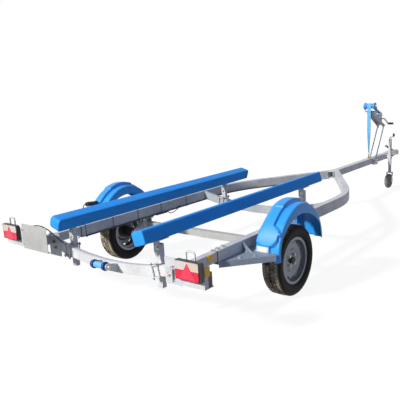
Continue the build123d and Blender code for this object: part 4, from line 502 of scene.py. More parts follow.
class Shape:
    """Forms gathered into one piece; each face keeps the number of its finish."""

    def __init__(self):
        self.points, self.faces, self.marks = [], [], []

    def add(self, points, faces, mark=0):
        start = len(self.points)
        self.points += [Vector(point) for point in points]
        self.faces += [[start + index for index in face] for face in faces]
        self.marks += [mark] * len(faces)

    def sheet(self, rows, left_out=()):
        """Join open rows of equal length; left_out holds the (row, column) of faces to skip."""
        count = len(rows[0])
        faces = [(row * count + column, row * count + column + 1,
                  (row + 1) * count + column + 1, (row + 1) * count + column)
                 for row in range(len(rows) - 1) for column in range(count - 1)
                 if (row, column) not in left_out]
        self.add([point for row in rows for point in row], faces)

    def rings(self, rings, mark=0, capped=False):
        """Join closed rings of equal length, one after the other."""
        count = len(rings[0])
        faces = [(low * count + index, low * count + (index + 1) % count,
                  (low + 1) * count + (index + 1) % count, (low + 1) * count + index)
                 for low in range(len(rings) - 1) for index in range(count)]
        if capped:
            faces.append(tuple(reversed(range(count))))
            faces.append(tuple((len(rings) - 1) * count + index for index in range(count)))
        self.add([point for ring in rings for point in ring], faces, mark)

    def band(self, outline, start, end, wall):
        """A flat band with a wall, from start to end; outline(x, wall) gives one ring."""
        self.rings([outline(x, grown) for x, grown in (
            (start, wall), (end, wall), (end, 0.0), (start, 0.0), (start, wall))])

    def lathe(self, profile, centre, axis=(0, 1, 0), segments=64, mark=0, closed=False):
        """Turn a profile of (radius, distance along the axis); a closed one ends where it began."""
        turn = Vector(axis).to_track_quat("Z", "Y").to_matrix()
        line = list(profile) + ([profile[0]] if closed else [])
        self.rings([[Vector(centre) + turn @ Vector((radius * a, radius * b, along))
                     for a, b in round_steps(segments)] for radius, along in line], mark)

    def prism(self, outline, origin, across, upwards, depth, mark=0):
        """A flat outline of (across, upwards), carried through depth, a vector."""
        across, upwards, depth = Vector(across), Vector(upwards), Vector(depth)
        near = [Vector(origin) + across * a + upwards * b for a, b in outline]
        self.rings([near, [point + depth for point in near]], mark, capped=True)

    def tube(self, path, radius, sides):
        """A round bar along a list of points."""
        rings, sideways = [], None
        for index, point in enumerate(path):
            ahead = (path[min(index + 1, len(path) - 1)] - path[max(index - 1, 0)]).normalized()
            if sideways is None:
                sideways = ahead.orthogonal().normalized()
            sideways = (sideways - ahead * sideways.dot(ahead)).normalized()
            other = ahead.cross(sideways)
            rings.append([point + radius * (a * sideways + b * other) for a, b in round_steps(sides)])
        self.rings(rings, capped=True)

    def piece(self, name, finishes, body, replaces=(), angle=35.0, wall=0.0):
        """Make the object and settle it; edges sharper than the angle stay sharp."""
        mesh = bpy.data.meshes.new(name)
        mesh.from_pydata(self.points, [], self.faces)
        for finish in finishes:
            mesh.materials.append(finish)
        mesh.polygons.foreach_set("material_index", self.marks)
        work = bmesh.new()
        work.from_mesh(mesh)
        bmesh.ops.delete(work, geom=[point for point in work.verts if not point.link_faces], context="VERTS")
        bmesh.ops.remove_doubles(work, verts=work.verts, dist=SAME_POINT)
        bmesh.ops.recalc_face_normals(work, faces=work.faces)
        work.to_mesh(mesh)
        work.free()
        mesh.shade_smooth()
        mesh.set_sharp_from_angle(angle=radians(angle))
        obj = new_object(name, mesh)
        if wall:
            modify(obj, "wall", "SOLIDIFY", thickness=wall, offset=-1.0)
        settle(obj, body, replaces)


# %% [markdown]
# ## Geometry Nodes for what repeats
# Tread blocks and nuts repeat by the dozen. A node tree places them from a few named sizes, so a size can
# be changed in one place. The result is turned into a plain mesh, because an export keeps meshes and
# drops instances.


# %% Building and running a tree
def new_tree(name, sockets):
    """A geometry tree with named inputs; returns the tree and a Tap for each input."""
    tree = bpy.data.node_groups.new(name, "GeometryNodeTree")
    for title, kind in sockets.items():
        tree.interface.new_socket(name=title, in_out="INPUT", socket_type=f"NodeSocket{kind}")
    tree.interface.new_socket(name="Geometry", in_out="OUTPUT", socket_type="NodeSocketGeometry")
    entry = tree.nodes.new("NodeGroupInput")
    return tree, {title: Tap(tree, entry.outputs[title]) for title in sockets}


def end_tree(tree, instances, finish):
    """Realize the instances, set their finish and lead them out."""
    real = instances.node("GeometryNodeRealizeInstances", {0: instances})
    done = real.node("GeometryNodeSetMaterial", {"Geometry": real, "Material": finish})
    tree.links.new(done.socket, tree.nodes.new("NodeGroupOutput").inputs[0])


def grow(name, tree, values, base=None):
    """Run a tree once and keep the result as a plain mesh object."""
    obj = new_object(name, base or bpy.data.meshes.new(name))
    modifier = obj.modifiers.new("grow", "NODES")
    modifier.node_group = tree
    for item in tree.interface.items_tree:
        if item.in_out == "INPUT" and item.name in values:
            modifier[item.identifier] = values[item.name]
    result = bpy.data.meshes.new_from_object(obj.evaluated_get(bpy.context.evaluated_depsgraph_get()))
    obj.modifiers.clear()
    obj.data = result
    return obj


# %% A row of tread blocks
TREAD_TREE, tread = new_tree("tread_row", {
    "Count": "Int", "Radius": "Float", "Centre": "Vector", "Phase": "Float", "Block": "Vector",
    "Skew": "Float", "Finish": "Material"})
circle = tread["Count"].node("GeometryNodeMeshCircle", {
    "Vertices": tread["Count"], "Radius": tread["Radius"]})
outwards = circle.node("GeometryNodeInputPosition")
facing = outwards.node("FunctionNodeAlignRotationToVector", {"Vector": outwards}, axis="Z")
block = tread["Block"].node("GeometryNodeMeshCube", {"Size": tread["Block"]})
blocks = circle.node("GeometryNodeInstanceOnPoints", {
    "Points": circle, "Instance": block, "Rotation": facing})
skewed = blocks.node("GeometryNodeRotateInstances", {
    "Instances": blocks,
    "Rotation": blocks.node("ShaderNodeCombineXYZ", {"Z": tread["Skew"]})})
stood = skewed.node("GeometryNodeTransform", {
    "Geometry": skewed,
    "Rotation": skewed.node("ShaderNodeCombineXYZ", {"X": pi / 2, "Y": tread["Phase"]}),
    "Translation": tread["Centre"]})
end_tree(TREAD_TREE, stood, tread["Finish"])
print("tread tree", len(TREAD_TREE.nodes), "nodes")

# %% Nuts on washers
FASTENER_TREE, fastener = new_tree("fasteners", {
    "Points": "Geometry", "Stud": "Float", "Washer": "Float", "Finish": "Material"})
WASHER_WALL, NUT_HEIGHT, NUT_RADIUS, STUD_RADIUS = 0.12, 0.55, 0.577, 0.30
WASHER_SIDES, NUT_SIDES, STUD_SIDES = 14, 6, 8


def turned_bar(tap, sides, radius, depth, lift):
    """An upright bar of a few sides that stands on lift."""
    bar = tap.node("GeometryNodeMeshCylinder", {"Vertices": sides, "Radius": radius, "Depth": depth})
    return bar.node("GeometryNodeTransform", {
        "Geometry": bar, "Translation": bar.node("ShaderNodeCombineXYZ", {"Z": depth / 2 + lift})})


bars = [turned_bar(fastener["Washer"], WASHER_SIDES, fastener["Washer"], WASHER_WALL, 0.0),
        turned_bar(fastener["Washer"], NUT_SIDES, NUT_RADIUS, NUT_HEIGHT, WASHER_WALL),
        turned_bar(fastener["Stud"], STUD_SIDES, STUD_RADIUS, fastener["Stud"], WASHER_WALL + NUT_HEIGHT)]
whole = fastener["Stud"].node("GeometryNodeJoinGeometry", {0: bars})
facing, size = (whole.node("GeometryNodeInputNamedAttribute", {"Name": name}, data_type=kind)
                for kind, name in (("FLOAT_VECTOR", "facing"), ("FLOAT", "size")))
aligned = whole.node("FunctionNodeAlignRotationToVector", {"Vector": facing}, axis="Z")
placed = whole.node("GeometryNodeInstanceOnPoints", {
    "Points": fastener["Points"], "Instance": whole, "Rotation": aligned, "Scale": size})
end_tree(FASTENER_TREE, placed, fastener["Finish"])


def fasten(name, rows, body, finish, stud=0.25, washer=0.95):
    """Nuts on washers at rows of (place, facing, width across the flats)."""
    base = bpy.data.meshes.new(name)
    base.from_pydata([row[0] for row in rows], [], [])
    directions = base.attributes.new("facing", "FLOAT_VECTOR", "POINT")
    directions.data.foreach_set("vector", [value for row in rows for value in row[1]])
    sizes = base.attributes.new("size", "FLOAT", "POINT")
    sizes.data.foreach_set("value", [row[2] for row in rows])
    obj = grow(name, FASTENER_TREE, {"Stud": stud, "Washer": washer, "Finish": finish}, base)
    settle(obj, body)
    print(name, len(rows), "fasteners,", len(obj.data.polygons), "faces")


print("fastener tree", len(FASTENER_TREE.nodes), "nodes")

# %% [markdown]
# ## Road tyres
# A radial tyre has plain side walls that bulge between bead and shoulder, and a tread of block rows
# between deep grooves. The carcass is turned from a profile whose crown is the floor of the grooves, and
# the tread tree stands the blocks on it, skewed in turn to one side and the other. Displacing a smooth
# tyre with an image would be quicker, but blocks give a true outline where tread meets ground.

# %% Profile of a tyre
TYRE_RADIUS, GROOVE_FLOOR, BEAD_RADIUS, BEAD_HALF = 0.2735, 0.2675, 0.1652, 0.0578
WALL_CENTRE, WALL_ACROSS, WALL_RADIUS = 0.2314686, 0.0164517, 0.0614579
WALL_FROM, WALL_TURN, WALL_STEPS = 137.71718, -78.04335, 14
wall_turns = [radians(WALL_FROM + WALL_TURN * step / WALL_STEPS) for step in range(WALL_STEPS + 1)]
wall_curve = [(WALL_CENTRE + WALL_RADIUS * cos(turn), WALL_ACROSS + WALL_RADIUS * sin(turn))
              for turn in wall_turns]
half_profile = [
    # radius and distance from the middle: bead, side wall with two moulded ribs, shoulder, groove floor
    (BEAD_RADIUS, BEAD_HALF), (0.180, BEAD_HALF), *wall_curve[:4], (0.2040, 0.0748), (0.2055, 0.0742),
    *wall_curve[5:12], (0.2530, 0.0748), (0.2545, 0.0733), *wall_curve[13:], (0.2655, 0.0640),
    (GROOVE_FLOOR, 0.0575), (GROOVE_FLOOR, 0.0)]
inner_profile = [(0.2500, 0.0), (0.2500, 0.056), (0.2278, 0.066), (BEAD_RADIUS, 0.043)]
tyre_profile = half_profile + [(radius, -across) for radius, across in reversed(half_profile[:-1])]
tyre_profile += [(radius, -across) for radius, across in reversed(inner_profile[1:])] + inner_profile
print("tyre profile of", len(tyre_profile), "points")

# %% Tyres with tread
WHEEL_Y = 0.908
TREAD_COUNT, ROW_PHASE = 58, radians(3.1)
BLOCK_HEIGHT, BLOCK_SINK, SHOULDER_DROP = TYRE_RADIUS - GROOVE_FLOOR, 0.0006, 0.0016
TREAD_ROWS = [
    # across, block length across, block length round, skew in degrees, drop
    (-0.048, 0.0200, 0.0225, 12.0, SHOULDER_DROP),
    (-0.0165, 0.0230, 0.0205, -24.0, 0.0),
    (0.0165, 0.0230, 0.0205, 24.0, 0.0),
    (0.048, 0.0200, 0.0225, -12.0, SHOULDER_DROP),
]
for name, side in SIDES.items():
    hub_place = at(0, side * WHEEL_Y, AXLE_Z)
    carcass = Shape()
    carcass.lathe(tyre_profile, hub_place, segments=96, closed=True)
    carcass.piece(f"tyre_{name}_carcass", [TYRE], f"wheel_{name}", [f"tyre_{name}"])
    for row, (across, wide, long, skew, drop) in enumerate(TREAD_ROWS):
        blocks = grow(f"tread_{name}_{row}", TREAD_TREE, {
            "Count": TREAD_COUNT, "Radius": GROOVE_FLOOR + BLOCK_HEIGHT / 2 - BLOCK_SINK - drop,
            "Centre": hub_place + Vector((0, across, 0)), "Phase": ROW_PHASE * (row % 2),
            "Block": (long, wide, BLOCK_HEIGHT), "Skew": radians(skew), "Finish": TYRE})
        settle(blocks, f"wheel_{name}")
print("tyres with", len(TREAD_ROWS) * TREAD_COUNT, "tread blocks each")

# %% [markdown]
# ## Mudguards
# Each guard is one vacuum-formed sheet. Its levels go round the arc in a few steps: a flat panel behind
# for a label, a bulge with one round corner, a wide crown with a narrow lower strip beside it, and a pad
# on top. The strip starts on a slant, and the crown's far shoulder is well rounded. The same moulding is
# used on both sides, so the strip is on the right of each. A table of levels, blended by smooth steps,
# gives the height of every point, and Solidify gives the sheet its wall. A sculpted mesh could do the
# same, but would not follow a change of the table.

# %% Levels of the moulding
GUARD_RADIUS, GUARD_Z, GUARD_HALF, GUARD_ROUND = 0.348, 0.385, 0.095, 0.014
GUARD_STEP, GUARD_STEP_SLOPE = -0.026, 0.009
GUARD_LEVELS = [
    # starts at (degrees from the rear end), blend (degrees), crown, strip
    (-20.0, 1.0, 0.003, -0.014),
    (17.0, 3.0, 0.012, 0.012),
    (40.0, 3.0, 0.012, -0.010),
    (68.0, 2.4, 0.021, -0.008),
    (112.0, 2.4, 0.011, -0.010),
]
BULGE_SAG, BULGE_CORNER, STRIP_SLANT = 3.5, 11.0, 8.0
HOLLOW_FROM, HOLLOW_TO, HOLLOW_DEPTH = 22.0, 92.0, 0.004


def held(value):
    """The value, held between 0 and 1."""
    return min(max(value, 0.0), 1.0)


def smooth_step(value):
    value = held(value)
    return value * value * (3 - 2 * value)


def guard_height(angle, across):
    """Height of the moulding above the guard's own radius."""
    outward = held((GUARD_STEP - across) / (GUARD_HALF + GUARD_STEP))
    bulge_line = BULGE_CORNER * outward ** 2 - BULGE_SAG * (1 - (across / GUARD_HALF) ** 2)
    shifts = (bulge_line, -STRIP_SLANT * outward, 0, 0)
    crown, strip = GUARD_LEVELS[0][2:]
    for (start, blend, next_crown, next_strip), shift in zip(GUARD_LEVELS[1:], shifts):
        share = smooth_step((angle - start - shift) / blend + 0.5)
        crown += (next_crown - crown) * share
        strip += (next_strip - strip) * share
    hollow = sin(pi * held((angle - HOLLOW_FROM) / (HOLLOW_TO - HOLLOW_FROM))) ** 2
    level = strip + (crown - strip) * smooth_step((across - GUARD_STEP) / GUARD_STEP_SLOPE)
    return level - HOLLOW_DEPTH * hollow


print("crown stands", round(guard_height(90, 0) * 1000), "mm proud on top")

# %% Section of the moulding
SHOULDER_ROUND, SHOULDER_FROM, SHOULDER_TO, SHOULDER_BLEND = 0.055, 18.0, 125.0, 30.0
ARCH_RADIUS, SKIRT_LEAST = 0.371, 0.012
SKIRT_SHARES, BEND_TURNS = (0, 0.08, 0.4, 0.75, 1), [radians(15 * step) for step in range(1, 7)]
STRIP_PLACES = [-0.074, -0.062, -0.050, -0.040, -0.033]
STEP_SHARES, CROWN_SHARES = (0, 0.2, 0.4, 0.6, 0.8, 1), (0.1, 0.25, 0.4, 0.55, 0.7, 0.85)


def skirt_edge(angle):
    """Distance from the guard's centre to the wheel arch cut, along an angle in degrees."""
    rise = GUARD_Z - AXLE_Z
    return -rise * sin(radians(angle)) + sqrt(ARCH_RADIUS ** 2 - (rise * cos(radians(angle))) ** 2)


def guard_section(angle):
    """The sheet's section at an angle, from skirt to skirt, as (distance from the centre, across)."""
    full = smooth_step((angle - SHOULDER_FROM) / SHOULDER_BLEND)
    full *= smooth_step((SHOULDER_TO - angle) / SHOULDER_BLEND + 1)
    shoulder = GUARD_ROUND + (SHOULDER_ROUND - GUARD_ROUND) * full
    step_end = GUARD_STEP + GUARD_STEP_SLOPE
    crown_width = GUARD_HALF - shoulder - step_end
    top = STRIP_PLACES + [GUARD_STEP + GUARD_STEP_SLOPE * share for share in STEP_SHARES]
    top += [step_end + crown_width * share for share in CROWN_SHARES]
    skirts = []
    for end, bend in ((-1, GUARD_ROUND), (1, shoulder)):
        high = GUARD_RADIUS + guard_height(angle, end * GUARD_HALF) - bend
        low = min(skirt_edge(angle), high - SKIRT_LEAST)
        skirt = [(low + (high - low) * share, end * GUARD_HALF) for share in SKIRT_SHARES]
        skirt += [(high + bend * sin(turn), end * (GUARD_HALF - bend * (1 - cos(turn))))
                  for turn in BEND_TURNS]
        skirts.append(skirt)
    middle = [(GUARD_RADIUS + guard_height(angle, across), across) for across in top]
    return skirts[0] + middle + skirts[1][::-1]


print("points across", len(guard_section(90)))

# %% Moulded mudguards with their labels
FLAP_ANGLE, FLAP_EDGE, FLAP_SLOPE = 5.0, -0.038, 0.010
PAD_ANGLES = [level[0] + shift for level in GUARD_LEVELS[-2:] for shift in (-1.2, -0.8, -0.4, 0.4, 0.8, 1.2)]
GUARD_ANGLES = sorted({round(value, 2) for value in (
    [-FLAP_ANGLE, -3.5, -1.5, 0] + [step * 2.0 for step in range(1, 91)]
    + [12 + step * 0.5 for step in range(62)] + PAD_ANGLES)})
GUARD_SHARP, GUARD_WALL = 50.0, 0.0036
LABEL_ANGLES, LABEL_ACROSS = (0.4, 4.5, 9.0, 13.2), (-0.0165, 0.015, 0.052, 0.083)
LABEL_LIFT, LABEL_WALL = 0.0006, 0.0005
LABEL_WHITE = new_finish("blank_label", {"Coat Weight": 0.3}, lambda coords: {
    "Base Color": coords.noise(35.0, 4.0).colour((0.62, 0.63, 0.64), (0.76, 0.76, 0.755)),
    "Roughness": 0.35 + coords.noise(80.0, 2.0) * 0.2})


def on_guard(angle, distance, y):
    """A place at a distance from the guard's centre, along an angle in degrees."""
    return at(-distance * cos(radians(angle)), y, GUARD_Z + distance * sin(radians(angle)))


def cut_away(side, angle, across):
    """Below its rear end the sheet is cut away, but for a flap on the outer side."""
    return angle < 0 and -side * across > FLAP_EDGE + FLAP_SLOPE * angle / FLAP_ANGLE


sections = [guard_section(angle) for angle in GUARD_ANGLES]
for name, side in SIDES.items():
    guard_y = middle_of(f"mudguard_{name}").y
    left_out = {(row, column) for row, (angle, section) in enumerate(zip(GUARD_ANGLES, sections))
                for column in range(len(section) - 1)
                if cut_away(side, angle, (section[column][1] + section[column + 1][1]) / 2)}
    guard = Shape()
    guard.sheet([[on_guard(angle, distance, guard_y + across) for distance, across in section]
                 for angle, section in zip(GUARD_ANGLES, sections)], left_out)
    guard.piece(f"mudguard_{name}_moulding", [GUARD_BLUE], "chassis", [f"mudguard_{name}"],
                angle=GUARD_SHARP, wall=GUARD_WALL)
    label = Shape()
    label.sheet([[on_guard(angle, GUARD_RADIUS + guard_height(angle, across) + LABEL_LIFT, guard_y + across)
                  for across in LABEL_ACROSS] for angle in LABEL_ANGLES])
    label.piece(f"mudguard_{name}_label", [LABEL_WHITE], "chassis", wall=LABEL_WALL)
print("mudguard sections", len(GUARD_ANGLES))

# %% [markdown]
# ## Bunks
# A bunk is a long bar in a tight blue cover: flat faces, soft long edges and square ends. The left one's
# rear end is rolled over from above. Beveling the solid would round all edges alike; rings of a rounded
# outline, drawn in at both ends by different amounts, give each end its own roll.

# %% Bunks in their covers
BUNK_WIDTH, BUNK_HEIGHT, BUNK_ROUND, BUNK_TILT = 0.110, 0.100, 0.017, radians(17)
COVER_REAR, REAR_ROLL = {"left": 0.016, "right": 0.0}, {"left": 0.026, "right": 0.008}
COVER_FRONT, FRONT_ROLL, END_TUCK, ROUND_LOST = 0.024, 0.008, 0.006, 0.4
CORNER_STEPS = 6
ROLL_STEPS = [(1 - cos(radians(turn)), 1 - sin(radians(turn))) for turn in (0, 18, 36, 54, 72, 90)]


def rounded_outline(width, height, radius):
    """Points of a rounded rectangle round the origin."""
    points = []
    for turn, (a, b) in enumerate(((1, 1), (-1, 1), (-1, -1), (1, -1))):
        for step in range(CORNER_STEPS + 1):
            angle = radians(90 * (turn + step / CORNER_STEPS))
            points.append((a * (width / 2 - radius) + radius * cos(angle),
                           b * (height / 2 - radius) + radius * sin(angle)))
    return points


for name, side in SIDES.items():
    lo, hi = (Vector(corner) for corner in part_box(f"bunk_{name}"))
    centre = (lo + hi) / 2
    across = Vector((0, cos(BUNK_TILT), side * sin(BUNK_TILT)))
    upwards = Vector((0, -side * sin(BUNK_TILT), cos(BUNK_TILT)))
    rings = []
    for end, inwards, roll, steps in ((lo.x - COVER_REAR[name], 1, REAR_ROLL[name], ROLL_STEPS),
                                      (hi.x + COVER_FRONT, -1, FRONT_ROLL, ROLL_STEPS[::-1])):
        for along, inset in steps:
            outline = rounded_outline(BUNK_WIDTH - 2 * inset * END_TUCK, BUNK_HEIGHT - 2 * inset * roll,
                                      BUNK_ROUND - ROUND_LOST * inset * BUNK_ROUND)
            middle = Vector((end + inwards * along * roll, centre.y, centre.z))
            rings.append([middle + across * a + upwards * b for a, b in outline])
    bar = Shape()
    bar.rings(rings, capped=True)
    bar.piece(f"bunk_{name}_cover", [BUNK_BLUE], "chassis", [f"bunk_{name}"])
print("bunks", round(hi.x - lo.x, 2), "m long")

# %% [markdown]
# ## Rear lamps
# A trailer lamp is a black tray with one welded lens of several colours: a red reflecting triangle, red
# fields low on both sides, a clear field and an amber-tinted one above. Each field is a flat outline in
# shares of the lens, carried through its depth; the triangle stands a little prouder. One printed image
# would need a picture file.

# %% Lens fields
LENS_FINISHES = [LENS_RED, LENS_PINK, LENS_CLEAR, LENS_PEACH]
FLUSH, PROUD = 0.75, 1.00
LENS_FIELDS = [
    # finish number, share of the depth, outline in (-1 inner to 1 outer, 0 bottom to 1 top)
    (0, FLUSH, [(-1, 0.16), (-0.97, 0.06), (-0.88, 0), (0, 0), (0, 0.06), (-0.66, 0.06), (-0.288, 0.55),
                (-1, 0.55)]),
    (0, FLUSH, [(0, 0), (0.76, 0), (0.85, 0.06), (0.88, 0.16), (0.88, 0.55), (0.288, 0.55), (0.66, 0.06),
                (0, 0.06)]),
    (1, PROUD, [(-0.66, 0.06), (0.66, 0.06), (0, 0.93)]),
    (2, FLUSH, [(-1, 0.55), (-0.288, 0.55), (0, 0.93), (0, 1), (-0.90, 1), (-0.97, 0.975), (-1, 0.90)]),
    (3, FLUSH, [(0.288, 0.55), (0.88, 0.55), (0.88, 0.90), (0.85, 0.975), (0.78, 1), (0, 1), (0, 0.93)]),
]
for name, side in SIDES.items():
    lo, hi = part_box(f"lamp_lens_{name}")
    lens = Shape()
    for mark, share, outline in LENS_FIELDS:
        lens.prism(outline, (hi[0], (lo[1] + hi[1]) / 2, lo[2]), (0, side * (hi[1] - lo[1]) / 2, 0),
                   (0, 0, hi[2] - lo[2]), (share * (lo[0] - hi[0]), 0, 0), mark)
    lens.piece(f"lamp_lens_{name}_fields", LENS_FINISHES, "chassis", [f"lamp_lens_{name}"])
print("lens fields", len(LENS_FIELDS))

# %% [markdown]
# ## Rollers and the jockey's wheel
# The bow roller has a waist that lets the bow sit, and full flanges at its ends. The keel roller is a
# slim sleeve between two dark end discs. The jockey's wheel is a grey plastic web in a solid, dusty tyre.
# All are turned: a profile of radius and distance from the middle, mirrored and spun. A Screw modifier
# would spin it too, but would need an object for each axis.


# %% Turned pieces
def mirrored(half):
    """A closed profile from one half, given from the bore outwards to the middle."""
    return half + [(radius, -along) for radius, along in reversed(half)]


ROLLERS = [
    # node, body, finish, half profile of (radius, distance from the middle), end disc of the same or None
    ("keel_roller", "keel_roller_body", ROLLER_BLUE,
     [(0.0081, 0.0700), (0.0180, 0.0700), (0.0235, 0.0530), (0.0245, 0.0470), (0.0240, 0.0300),
      (0.0240, 0.0)],
     [(0.0175, 0.0470), (0.0300, 0.0470), (0.0325, 0.0490), (0.0330, 0.0520), (0.0330, 0.0630),
      (0.0322, 0.0665), (0.0290, 0.0690), (0.0175, 0.0700)]),
    ("bow_roller", "bow_roller_body", BOW_BLUE,
     [(0.0081, 0.078), (0.0415, 0.078), (0.0455, 0.0765), (0.0470, 0.072), (0.0470, 0.064), (0.0440, 0.056),
      (0.0385, 0.047), (0.0345, 0.038), (0.0330, 0.030), (0.0330, 0.0)], None),
]
JOCKEY_TYRE = [(0.0660, 0.0200), (0.0700, 0.0270), (0.0760, 0.0295), (0.0880, 0.0290), (0.0970, 0.0225),
               (0.1025, 0.0140), (0.1047, 0.0060), (0.1050, 0.0)]
JOCKEY_DISC = [(0.00605, 0.0310), (0.0225, 0.0310), (0.0255, 0.0290), (0.0290, 0.0215), (0.0340, 0.0190),
               (0.0600, 0.0190), (0.0670, 0.0205), (0.0675, 0.0100)]
TURNED_SHARP = 40.0
for name, body, finish, half, disc in ROLLERS:
    roller = Shape()
    roller.lathe(mirrored(half), middle_of(name), closed=True)
    for end in LEFT_RIGHT if disc else ():
        roller.lathe([(radius, end * along) for radius, along in disc], middle_of(name), mark=1, closed=True)
    roller.piece(f"{name}_turned", [finish, ROLLER_NAVY], body, [name], angle=TURNED_SHARP)

wheel = Shape()
for mark, half in enumerate((JOCKEY_TYRE, JOCKEY_DISC)):
    wheel.lathe(mirrored(half), middle_of("jockey_wheel"), segments=72, mark=mark, closed=True)
wheel.piece("jockey_wheel_turned", [JOCKEY_RUBBER, JOCKEY_WEB], "jockey_roll",
            ["jockey_wheel"], angle=TURNED_SHARP)
print("turned", len(ROLLERS), "rollers and the jockey wheel")

# %% [markdown]
# ## Winch strap and rail ends
# The strap hangs flat from the bow roller and is gathered into its hook at the foot. Its solid is a plain
# band, so the mesh is cut across in steps and drawn in below the middle. A soft liner shows as a dark
# line where each leg slides into its rail. Both could be painted on, but the gathered outline shows
# against the sky.

# %% Gathered strap
GATHER_TOP, GATHER_FOOT, GATHERED, GATHER_CUTS = 0.930, 0.560, 0.36, 10
work = bmesh.new()
work.from_mesh(NODES["winch_strap"].data)
for step in range(GATHER_CUTS):
    height = GATHER_FOOT + (GATHER_TOP - GATHER_FOOT) * step / (GATHER_CUTS - 1)
    bmesh.ops.bisect_plane(work, geom=work.verts[:] + work.edges[:] + work.faces[:], dist=SAME_POINT,
                           plane_co=(0, 0, height), plane_no=(0, 0, 1))
for vertex in work.verts:
    drop = smooth_step((GATHER_TOP - vertex.co.z) / (GATHER_TOP - GATHER_FOOT))
    vertex.co.y *= 1 - (1 - GATHERED) * drop
strap_mesh = bpy.data.meshes.new("winch_strap_gathered")
work.to_mesh(strap_mesh)
work.free()
strap_mesh.materials.clear()
strap_mesh.materials.append(STRAP_BLUE)
settle(new_object("winch_strap_gathered", strap_mesh), "chassis", ["winch_strap"])
print("strap cut in", len(strap_mesh.polygons), "faces")

# %% Rail liners
LINER_LENGTH, LINER_WALL = 0.006, 0.003
LEG_INNER, LEG_OUTER, LEG_LOW, LEG_HIGH = 0.7045, 0.7555, 0.429, 0.501
LINER_BROWN = rubber("rail_end_liner", (0.030, 0.024, 0.020), (0.075, 0.060, 0.050))
for name, side in SIDES.items():
    def leg_outline(x, wall):
        inner, outer, low, high = LEG_INNER - wall, LEG_OUTER + wall, LEG_LOW - wall, LEG_HIGH + wall
        return [(x, side * y, z) for y, z in ((inner, low), (outer, low), (outer, high), (inner, high))]

    rail_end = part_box(f"rail_{name}")[0][0]
    liner = Shape()
    liner.band(leg_outline, rail_end, rail_end - LINER_LENGTH, LINER_WALL)
    liner.piece(f"rail_liner_{name}", [LINER_BROWN], "chassis")
print("liners", len(SIDES))

# %% [markdown]
# ## Nuts and bolts
# Everything adjustable on the trailer is clamped, so nuts are everywhere. Each row below is a place, the
# way the nut faces and its width across the flats; loops repeat a row for both sides and both
# crossmembers. The fastener tree turns rows into washers, hexagons and stud ends. Nuts could also be
# copied by hand, but a table shows where each one belongs.

# %% Fasteners on the frame
POST_Y, POST_TOP = 0.468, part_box("bunk_posts")[1][2]
POST_FACE, POST_DROPS, POST_BOLT = 0.034, (0.022, 0.068), 0.017
CROSS_PLACES, CROSS_SLOPE, CLAMP_TOP_Z = (-1.000, 1.000), radians(10.37), 0.44547
CLAMP_RODS = [(x, y) for x in (-0.007, 0.087) for y in (-0.027, 0.027)]
CLAMP_UPPER, CLAMP_LOWER, CLAMP_NUT = 0.0086, -0.0836, 0.0120
BACK, OUT, IN, UP, DOWN = (-1, 0, 0), (0, 1, 0), (0, -1, 0), (0, 0, 1), (0, 0, -1)
CORNER_NUTS = [
    # x, distance from the middle, height, facing, width across the flats: corner plates
    (-1.006, 0.6255, 0.4165, BACK, 0.017), (-1.006, 0.6445, 0.4625, BACK, 0.017),
]
SIDE_BOLTS = [
    # the same: leg's end, rail end, wing plate, leg's side, axle hanger, guard bracket and its foot
    (-1.146, 0.730, 0.478, BACK, 0.020),
    (-0.655, 0.730, 0.505, UP, 0.019), (-0.590, 0.730, 0.505, UP, 0.019),
    (-0.542, 0.836, 0.428, UP, 0.016), (-0.455, 0.905, 0.428, UP, 0.016), (-0.400, 0.800, 0.428, UP, 0.016),
    (-1.112, 0.7595, 0.472, OUT, 0.016),
    (0.072, 0.712, 0.399, DOWN, 0.017), (0.072, 0.748, 0.399, DOWN, 0.017),
    (0.188, 0.712, 0.399, DOWN, 0.017), (0.188, 0.748, 0.399, DOWN, 0.017),
    (0.284, 0.835, 0.542, IN, 0.013), (0.316, 0.835, 0.542, IN, 0.013),
    (0.284, 0.787, 0.485, UP, 0.015), (0.316, 0.787, 0.485, UP, 0.015),
]
PLATE_BOLTS = [(at(-1.178, 0.796, z), BACK, 0.012) for z in (0.475, 0.585)]


def both_sides(rows):
    """Rows of (x, distance from the middle, height, facing, size) on the left and on the right."""
    return [(at(x, side * y, z), (way[0], side * way[1], way[2]), size)
            for side in LEFT_RIGHT for x, y, z, way, size in rows]


clamp_nuts = both_sides(CORNER_NUTS)
for side in LEFT_RIGHT:
    lean = Vector((0, -side * sin(CROSS_SLOPE), cos(CROSS_SLOPE)))
    along_beam = Vector((0, cos(CROSS_SLOPE), side * sin(CROSS_SLOPE)))
    for cross_x in CROSS_PLACES:
        for rod_x, rod_y in CLAMP_RODS:
            foot = at(cross_x + rod_x, side * POST_Y, CLAMP_TOP_Z) + along_beam * rod_y
            clamp_nuts.append((foot + lean * CLAMP_UPPER, lean, CLAMP_NUT))
            clamp_nuts.append((foot + lean * CLAMP_LOWER, -lean, CLAMP_NUT))
post_bolts = [(x + POST_FACE, POST_Y, POST_TOP - drop, BACK, POST_BOLT)
              for x in CROSS_PLACES for drop in POST_DROPS]
fasten("clamp_nuts", clamp_nuts, "chassis", NUT_DULL, stud=0.5)
fasten("frame_bolts", both_sides(post_bolts + SIDE_BOLTS) + PLATE_BOLTS, "chassis", BOLT_ZINC)

